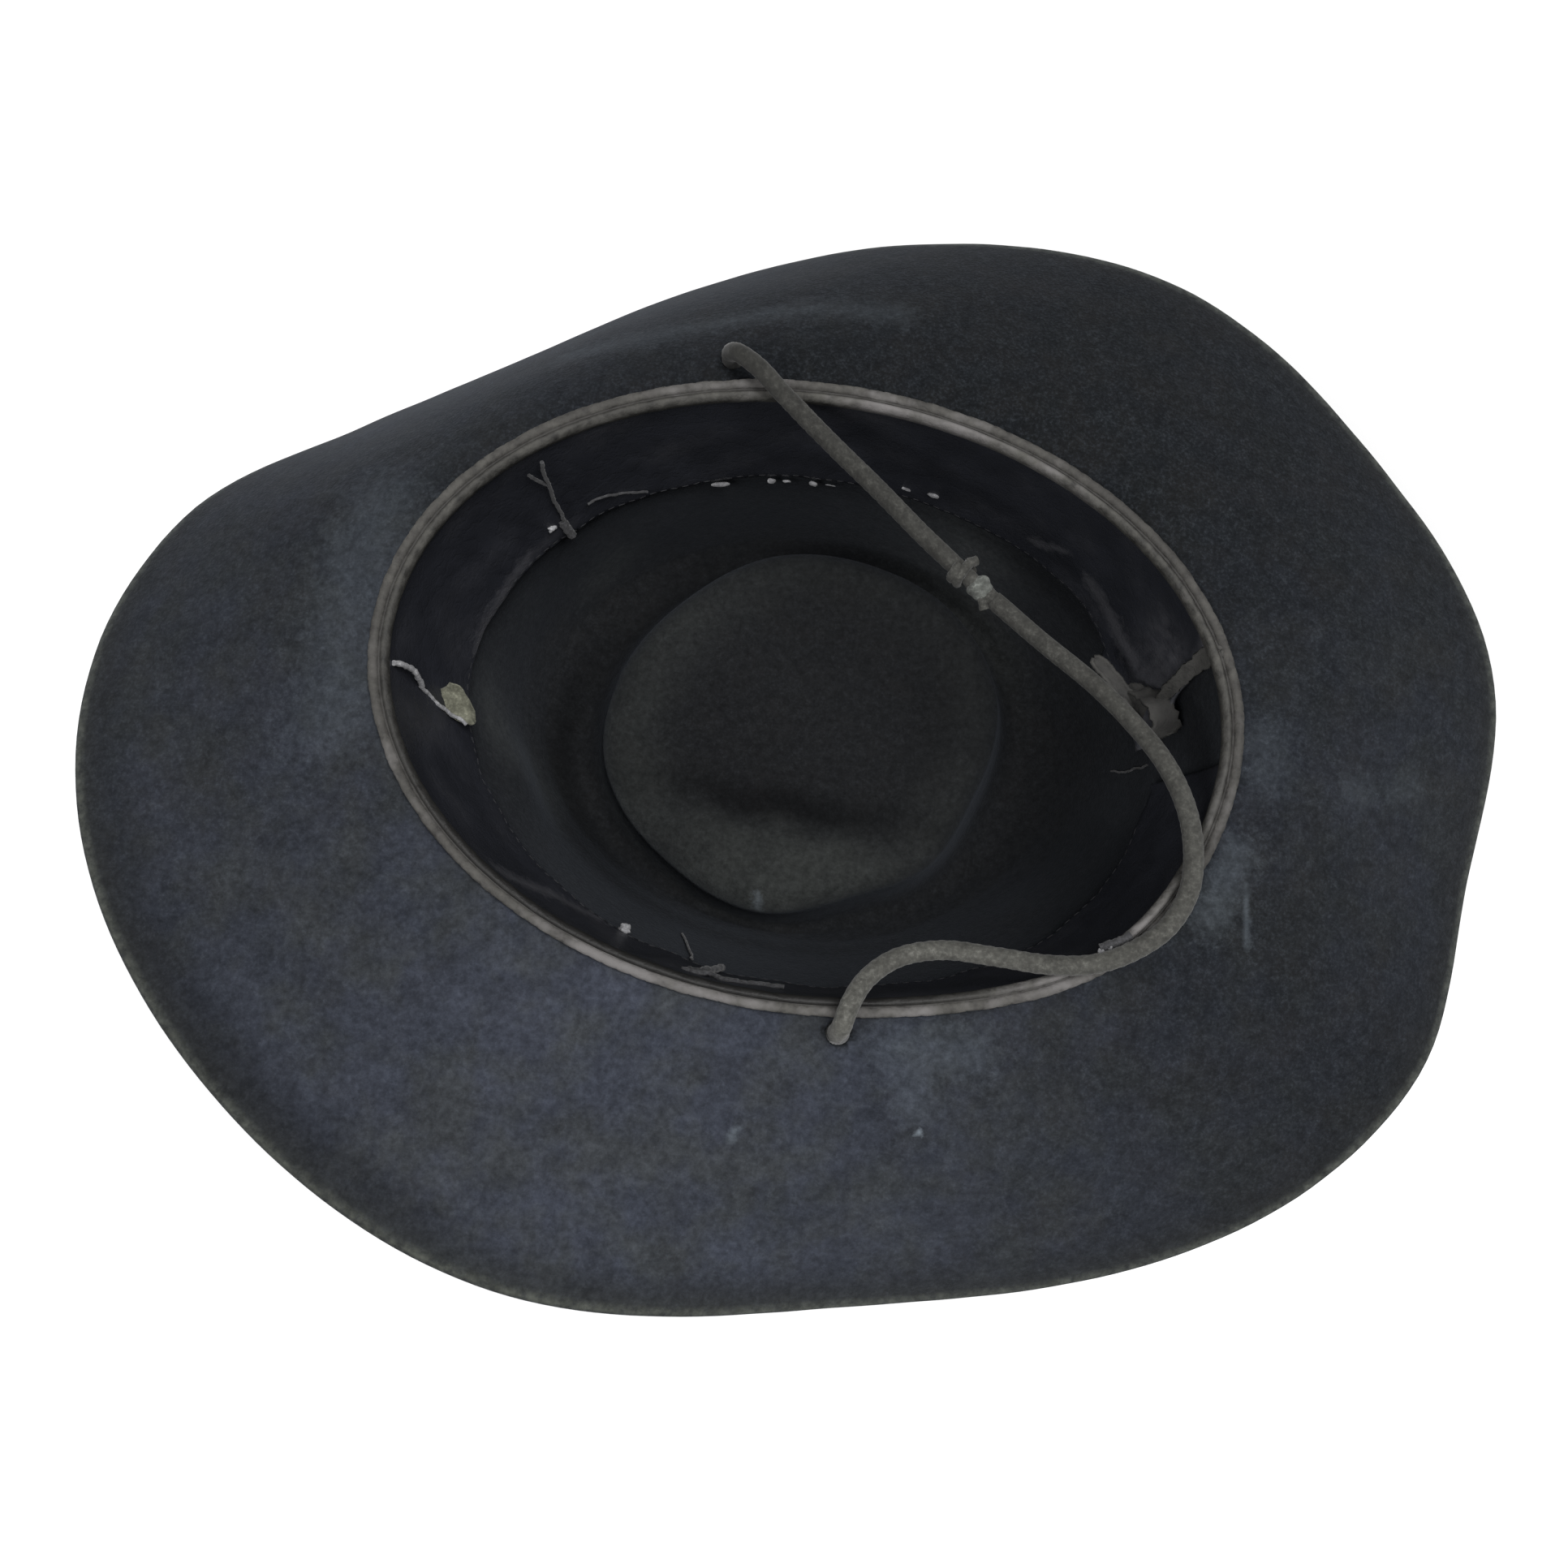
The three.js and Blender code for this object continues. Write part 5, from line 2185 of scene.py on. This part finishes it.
@dataclass
class ChinCord:
    """One braided cord: over the opening, through two holes, and round the crown's front."""

    form: HatForm
    diameter: float = 4.5
    slack: float = 0.35
    fluff: float = 0.12
    sides: int = 24
    step: float = 0.75
    strands: int = 4
    lay_length: float = 11.0
    relief: float = 0.16
    run_from: float = 122.0
    run_to: float = 268.0
    run_points: int = 9
    run_height: float = -14.5

    def hidden_route(self) -> list[Vector]:
        """The stretch from hole to hole, against the crown's outer wall."""
        far, near = Vector((*self.form.far_hole, 0)), Vector((*self.form.near_hole, 0))
        skin = self.form.break_out - self.form.break_radius + self.form.felt
        out = skin + self.diameter / 2 + self.slack
        run = []
        for k in range(self.run_points):
            bearing = blend(self.run_from, self.run_to, k / (self.run_points - 1))
            run.append(self.form.near_mouth(bearing, out, self.run_height))
        drop = ((0, 0, -3.6), (0, 0, -6.9), (-2.4, -0.6, -11.9), (-9, -4, -14.3))
        rise = ((-9, -0.3, -14.3), (-2.6, -0.2, -11.6), (0, 0, -5.6), (0, 0, -3))
        return [*(far + Vector(p) for p in drop), *run, *(near + Vector(p) for p in rise)]

    def braid(self, turn: float, along: float) -> float:
        """The braid's relief at a place on the cord, 1 on a strand and 0 between strands."""
        slide = 2 * math.pi * along / self.lay_length
        one = math.cos(self.strands * (turn + slide) / 2)
        other = math.cos(self.strands * (turn - slide) / 2)
        return max(one * one, other * other)

    def skin(self, turn: float, along: float) -> float:
        """The cord's radius at a place."""
        soft = 0.05 * noise.noise(Vector((along / 9, math.cos(turn), math.sin(turn))))
        return self.diameter / 2 + self.fluff - self.relief * (1 - self.braid(turn, along)) + soft

    def hollow(self, turn: float, along: float) -> float:
        """How deep the braid's groove is there, from 0 to 1."""
        return 1 - self.braid(turn, along)

    def stretch(
        self,
        shop: Workshop,
        finish: bpy.types.Material,
        name: str,
        node: str,
        route: Sequence[Vector],
        darkenings: Sequence[CordDarkening],
    ) -> tuple[bpy.types.Object, list[Vector]]:
        """darkenings: how much darker or lighter it is along its length.

        Returns:
            The piece, and its centreline in the frame's metres.
        """
        line = even_steps(curve_through(route, 12), self.step)
        bm = bent_tube(line, self.sides, self.skin, self.hollow)
        row, dirt_and_shade = bm.verts.layers.int["row"], bm.verts.layers.float.new("dirt_and_shade")
        for vert in bm.verts:
            vert[dirt_and_shade] = read_down(darkenings, "along", "dark", vert[row] * self.step, 10)
        piece = shop.piece(name, bm, finish, Slot.CORD, 80)
        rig.replaces(piece, node)
        return piece, [shop.mouth.metres(point) for point in line[::4] + [line[-1]]]

    def build(self, shop: Workshop, finish: bpy.types.Material, knot: Sequence[bpy.types.Object]) -> None:
        """Args:
            shop: makes the pieces.
            finish: the cord's material.
            knot: the pieces of the knot.
        """
        far_route, near_route = ([Vector(p) for p in route] for route in (FAR_ROUTE, NEAR_ROUTE))
        far, far_line = self.stretch(shop, finish, "cord_far", "chin_cord_far", far_route, FAR_DARKENING)
        near, near_line = self.stretch(shop, finish, "cord_near", "chin_cord_near", near_route, NEAR_DARKENING)
        crown, crown_line = self.stretch(
            shop, finish, "cord_crown", "crown_cord", self.hidden_route(), CROWN_DARKENING
        )
        width = self.diameter / 1000
        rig.cord(
            far, exit=far_line[0], length=length_of(far_line), diameter=width, far_end="knot",
            stiffness="limp", lay="loose", path=far_line, with_pieces=list(knot),
        )
        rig.cord(
            near, exit=near_line[0], length=length_of(near_line), diameter=width, far_end="object",
            stiffness="limp", lay="loose", path=near_line,
        )
        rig.cord(
            crown, exit=crown_line[0], length=length_of(crown_line), diameter=width, far_end="object",
            stiffness="limp", lay="taut", path=crown_line,
        )


COLLAR_TAIL = ((0.9, 1.6, 2.2), (2.0, 2.2, 2.1), (2.9, 2.9, 1.7))
LUMP_TAIL = ((0.4, -1.6, 0.2), (1.2, -3.4, 0), (2.1, -5.2, -0.5))


@dataclass
class ChinKnot:
    """The knot that joins the cord's ends: a wrapped collar, a pale lump and two short tails."""

    centre: Vector = field(default_factory=lambda: Vector((38.5, 34.2, -6.4)))
    collar_back: float = 5.3
    collar_radius: float = 2.8
    collar_yarn: float = 1.25
    collar_turns: float = 1.7
    collar_pitch: float = 1.7
    collar_start: float = 0.6
    turn_steps: int = 24
    lump_size: tuple[float, float, float] = (3.2, 3.15, 2.9)
    lump_ahead: float = 0.7
    core_radius: float = 2.1
    core_length: float = 12.0
    core_steps: int = 8
    tail_radius: float = 1.25
    sides: int = 16
    tail_sides: int = 14

    def ways(self) -> tuple[Vector, Vector, Vector]:
        """The cord's way through the knot, the way across it and the way up."""
        ahead = (Vector(NEAR_ROUTE[0]) - Vector(FAR_ROUTE[-1])).normalized()
        across = Vector((0, 0, 1)).cross(ahead).normalized()
        return ahead, across, ahead.cross(across)

    def coil(self, middle: Vector) -> list[Vector]:
        """A line that winds round the cord, with its middle at a place."""
        ahead, across, up = self.ways()
        line = []
        steps = round(self.collar_turns * self.turn_steps)
        for k in range(steps + 1):
            share = k / steps - 0.5
            angle = 2 * math.pi * self.collar_turns * share + self.collar_start
            ring = across * math.cos(angle) + up * math.sin(angle)
            forward = self.collar_pitch * self.collar_turns * share
            line.append(middle + ring * self.collar_radius + ahead * forward)
        return line

    def strand(self, radius: float) -> Skin:
        """The skin of a laid strand of a radius, with shallow grooves between its yarns."""

        def skin(turn: float, along: float) -> float:
            """The strand's radius at a place."""
            yarns = 1 + 0.07 * math.cos(3 * turn + along * 2.2)
            return radius * (yarns + 0.05 * noise.noise(Vector((turn, along, 6))))

        return skin

    def lump(self, middle: Vector) -> bmesh.types.BMesh:
        """The wound lump: a rounded body whose turns show as grooves.

        Args:
            middle: its middle.

        Returns:
            The lump.
        """
        ahead, across, up = self.ways()
        bm = bmesh.new()
        bmesh.ops.create_icosphere(bm, subdivisions=5, radius=1)
        groove = bm.verts.layers.float.new("groove")
        for vert in bm.verts:
            x, y, z = vert.co
            wound = math.cos(math.atan2(z, y) + 5.5 * x + 0.8 * math.sin(3 * y))
            vert[groove] = max(0.0, -wound) ** 2
            swell = 1 + 0.07 * wound + 0.06 * noise.noise(vert.co * 2.2 + Vector((4, 1, 7)))
            side = across * (y * self.lump_size[1]) + up * (z * self.lump_size[2])
            vert.co = middle + (ahead * (x * self.lump_size[0]) + side) * swell
        return bm

    def build(
        self, shop: Workshop, dark: bpy.types.Material, pale: bpy.types.Material
    ) -> list[bpy.types.Object]:
        """Builds the knot.

        Args:
            shop: makes the pieces.
            dark: the collar's material.
            pale: the lump's material.

        Returns:
            Its pieces.
        """
        ahead = self.ways()[0]
        collar_at = self.centre - ahead * self.collar_back
        lump_at = self.centre + ahead * self.lump_ahead
        shares = [step / self.core_steps - 0.5 for step in range(self.core_steps + 1)]
        core = [self.centre + ahead * (self.core_length * share) for share in shares]
        tail = [collar_at + Vector(p) for p in COLLAR_TAIL]
        stub = [lump_at + Vector(p) for p in LUMP_TAIL]
        parts = [
            bent_tube(self.coil(collar_at), self.sides, self.strand(self.collar_yarn)),
            bent_tube(core, self.sides, self.strand(self.core_radius)),
            bent_tube(curve_through(tail, 6), self.tail_sides, self.strand(self.tail_radius)),
            bent_tube(curve_through(stub, 6), self.tail_sides, self.strand(self.tail_radius)),
        ]
        collar = shop.piece("knot_collar", joined(parts), dark, Slot.CORD, 80)
        lump = shop.piece("knot_lump", self.lump(lump_at), pale, Slot.CORD, 80)
        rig.replaces(lump, "chin_knot")
        return [collar, lump]


# Loose bits


class Thread(NamedTuple):
    """A loose thread: its radius and the points that it passes."""

    radius: float
    route: tuple[tuple[float, float, float], ...]


PALE_THREADS = (
    Thread(0.75, ((-100, -10, -3.4), (-98.6, -9.1, -7), (-97.4, -9.6, -12), (-97.2, -11.4, -19))),
    Thread(0.55, ((-97.3, -11.2, -18), (-96.6, -12.6, -24), (-93.9, -14.1, -30), (-88.8, -16.3, -36.5))),
)
DULL_THREADS = (
    Thread(
        0.55,
        (
            (-74.9, 47.6, -4.8),
            (-75, 46.3, -16.2),
            (-74.3, 44.9, -31.2),
            (-73.4, 44.3, -39),
            (-73, 43.9, -42),
        ),
    ),
    Thread(0.48, ((-78.1, 44.6, -7.9), (-76.8, 45.2, -11.5), (-75.2, 46.2, -16.5))),
    Thread(1.3, ((-74.1, 44.3, -37.5), (-73.2, 43.6, -41), (-72.4, 43.2, -44.5))),
    Thread(0.36, ((-68, 49.8, -35.7), (-64.3, 52.4, -36.3), (-59.5, 55.8, -39.5), (-53.4, 58.4, -43.3))),
    Thread(0.95, ((-17.5, -70.8, -27.5), (-14.3, -70.6, -31), (-11.3, -69.6, -39), (-10.3, -69, -44))),
    Thread(
        0.6,
        (
            (-19.5, -71.2, -26),
            (-13, -71.3, -29),
            (-6, -71.9, -28.5),
            (2.7, -71.7, -32.3),
            (7, -71.4, -32),
        ),
    ),
    Thread(0.35, ((-25.4, -60.4, -81.8), (-22.6, -63.8, -71), (-19.9, -66.9, -60.5), (-19.2, -67.8, -55))),
    Thread(0.3, ((91.7, 6.9, -73), (93.8, 5.2, -62), (96.5, 5.5, -50))),
    Thread(1.1, ((78.4, -50.9, 2.2), (80.4, -49.6, 2.5), (82.8, -48, 2.6), (84.8, -46.3, 2.6))),
)


class Lint(NamedTuple):
    """A ball of lint: its place and size."""

    place: tuple[float, float, float]
    size: float


LINT = (
    Lint((-77.2, 42.2, -38.4), 1.25),
    Lint((-38.1, -63.1, -48.2), 1.5),
    Lint((78.5, -51.3, 2.4), 0.75),
    Lint((80.4, -50, 2.9), 0.8),
    Lint((82.6, -48.4, 3), 0.6),
)


class ScrapWidth(NamedTuple):
    """Half the cream scrap's width, at a share of its length."""

    along: float
    half: float


SCRAP_WIDTHS = (
    ScrapWidth(0, 1.4),
    ScrapWidth(0.2, 3.0),
    ScrapWidth(0.5, 3.1),
    ScrapWidth(0.8, 2.5),
    ScrapWidth(1, 0.9),
)


@dataclass
class LooseBits:
    """Threads, lint and the cream scrap that cling to the inside."""

    thread_step: float = 0.8
    thread_sides: int = 7
    wiggle: float = 0.5
    scrap_rows: int = 16
    scrap_columns: int = 10
    scrap_thickness: float = 0.5

    def fibre(self, radius: float) -> Skin:
        """The skin of a thread of a radius, a little thicker and thinner along it."""
        return lambda turn, along: radius * (1 + 0.15 * math.sin(5 * along))

    def threads(self, table: Sequence[Thread]) -> bmesh.types.BMesh:
        """All the threads of a table, as one mesh."""
        parts = []
        for thread in table:
            line = curve_through([Vector(p) for p in thread.route], 8)
            line = even_steps(line, self.thread_step)
            line = [p + noise.noise_vector(p / 3.5) * self.wiggle for p in line]
            parts.append(bent_tube(line, self.thread_sides, self.fibre(thread.radius)))
        return joined(parts)

    def lint(self) -> bmesh.types.BMesh:
        """All the balls of lint, as one mesh."""
        parts = []
        for ball in LINT:
            bm = bmesh.new()
            matrix = Matrix.Translation(ball.place)
            bmesh.ops.create_icosphere(bm, subdivisions=3, radius=ball.size, matrix=matrix)
            for vert in bm.verts:
                away = vert.co - Vector(ball.place)
                vert.co += away * 0.55 * noise.noise(vert.co / 0.7)
            parts.append(bm)
        return joined(parts)

    def scrap(self) -> bmesh.types.BMesh:
        """The cream scrap, a small torn flake that hangs on a thread."""
        top, foot = Vector((-95, -8.0, -32)), Vector((-86.9, -15.9, -37.5))
        across = Vector((0.69, 0.72, 0.05))

        def place(i: int, j: int) -> Vector:
            """A point of the flake."""
            down = j / self.scrap_rows
            side = 2 * i / self.scrap_columns - 1
            width = read_down(SCRAP_WIDTHS, "along", "half", down, 0.2)
            width *= 1 + 0.2 * noise.noise(Vector((side * 1.5, down * 4, 9.1)))
            crumple = 0.5 * noise.noise(Vector((side * 1.6, down * 5, 2.2)))
            curl = Vector((0, 0, 0.9 * side * side + crumple))
            return top.lerp(foot, down) + across * (side * width) + curl

        bm = bent_grid(self.scrap_columns, self.scrap_rows, place)
        bmesh.ops.recalc_face_normals(bm, faces=bm.faces)
        bmesh.ops.solidify(bm, geom=bm.faces, thickness=self.scrap_thickness)
        return bm

    def build(self, shop: Workshop, finishes: Finishes) -> None:
        """Builds the threads, the lint and the scrap.

        Args:
            shop: makes the pieces.
            finishes: the hat's materials.
        """
        shop.piece("pale_threads", self.threads(PALE_THREADS), finishes.pale, sharp=80)
        shop.piece("dull_threads", self.threads(DULL_THREADS), finishes.dull, sharp=80)
        shop.piece("lint", self.lint(), finishes.pale, sharp=80)
        shop.piece("cream_scrap", self.scrap(), finishes.scrap)


# The studio


class Lamp(NamedTuple):
    """A soft square lamp: its place and width in metres, and its power in watts."""

    name: str
    place: tuple[float, float, float]
    size: float
    power: float


LAMPS = (Lamp("key", (-0.9, -1.1, 1.9), 0.9, 21), Lamp("overhead", (0.5, 0.15, 2.2), 1.0, 45))


@dataclass
class Studio:
    """Floor, lights and camera."""

    mouth: MouthFrame
    floor_size: float = 4.0
    camera_tilt: float = 9.0
    camera_turn: float = 9.45
    camera_distance: float = 320.3
    mouth_right: float = 4.8
    mouth_up: float = 23.4
    focal_px: float = 1632.0
    photo_px: float = 1932.0
    sensor: float = 36.0
    sky: float = 0.28

    def camera(self) -> None:
        """Puts the camera at the photograph's angle to the opening."""
        tilt, turn = math.radians(self.camera_tilt), math.radians(self.camera_turn)
        away = Vector((math.sin(tilt) * math.sin(turn), -math.sin(tilt) * math.cos(turn), math.cos(tilt)))
        right = Vector((math.cos(turn), math.sin(turn), 0))
        up = away.cross(right)
        eye = away * self.camera_distance - right * self.mouth_right - up * self.mouth_up
        data = bpy.data.cameras.new("camera")
        data.sensor_width = self.sensor
        data.lens = self.focal_px / self.photo_px * self.sensor
        data.clip_start = 0.01
        camera = put_in_scene("camera", data)
        turned = Matrix((right, up, away)).transposed().to_4x4()
        camera.matrix_world = Matrix.Translation(self.mouth.metres(eye)) @ turned
        bpy.context.scene.camera = camera

    def floor(self) -> None:
        """Lays the pale floor."""
        bm = bmesh.new()
        bmesh.ops.create_grid(bm, x_segments=4, y_segments=4, size=self.floor_size / 2)
        mesh = mesh_from("floor", bm)
        material, nodes, shader = new_material("floor")
        tone = nodes.remap(nodes.noise(nodes.place(), 400, 2.0), 0.3, 0.7, 0.86, 0.92)
        nodes.feed(shader, {"Base Color": nodes.grey(tone), "Roughness": 0.9})
        mesh.materials.append(material)
        floor = put_in_scene("floor", mesh)
        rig.stage(floor)

    def hang(self, lamp: Lamp) -> None:
        """Hangs one lamp that shines at the hat."""
        data = bpy.data.lights.new(lamp.name, "AREA")
        data.shape = "SQUARE"
        data.size = lamp.size
        data.energy = lamp.power
        hung = put_in_scene(lamp.name, data)
        hung.location = lamp.place
        hung.rotation_euler = (-Vector(lamp.place)).to_track_quat("-Z", "Y").to_euler()

    def lights(self) -> None:
        """Lights the scene softly from above, most from the near left."""
        world = bpy.data.worlds.new("studio")
        world.use_nodes = True
        background = world.node_tree.nodes["Background"]
        Nodes(world.node_tree).feed(background, {"Color": (1, 1, 1), "Strength": self.sky})
        bpy.context.scene.world = world
        for lamp in LAMPS:
            self.hang(lamp)
        bpy.context.scene.view_settings.view_transform = "Standard"


def main() -> None:
    """Builds the hat's pieces in order and reports each of them."""
    logging.basicConfig(level=logging.INFO, format="%(name)s: %(message)s")
    noise.seed_set(SEED)
    form = HatForm()
    mouth = MouthFrame.from_reed(form)
    log.info("opening at %s mm", tuple(round(value * 1000, 3) for value in mouth.centre))
    studio = Studio(mouth)
    studio.camera()
    shop = Workshop(mouth)
    finishes = Finishes.make(mouth)
    knot = ChinKnot().build(shop, finishes.cord, finishes.knot)
    ChinCord(form).build(shop, finishes.cord, knot)
    FeltBody(form).build(shop, finishes.felt)
    reed = ReedBead(form)
    reed.build(shop, finishes.reed)
    reed.build_seam(shop, finishes.reed)
    band = Sweatband(form)
    band.build(shop, finishes.bead, finishes.band)
    BandStitches(form, band).build(shop, finishes.stitch, finishes.pale)
    TornSeam().build(shop, finishes.torn)
    LooseBits().build(shop, finishes)
    studio.floor()
    studio.lights()
    for piece in shop.pieces:
        log.info("%s: %d faces", piece.name, len(piece.data.polygons))
    sizes = {"cad": [list(corner) for corner in CAD_BOX], "visual": [list(corner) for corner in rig.bounds()]}
    with open("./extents.json", "w", encoding="utf-8") as file:
        json.dump(sizes, file)


if __name__ == "__main__":
    main()
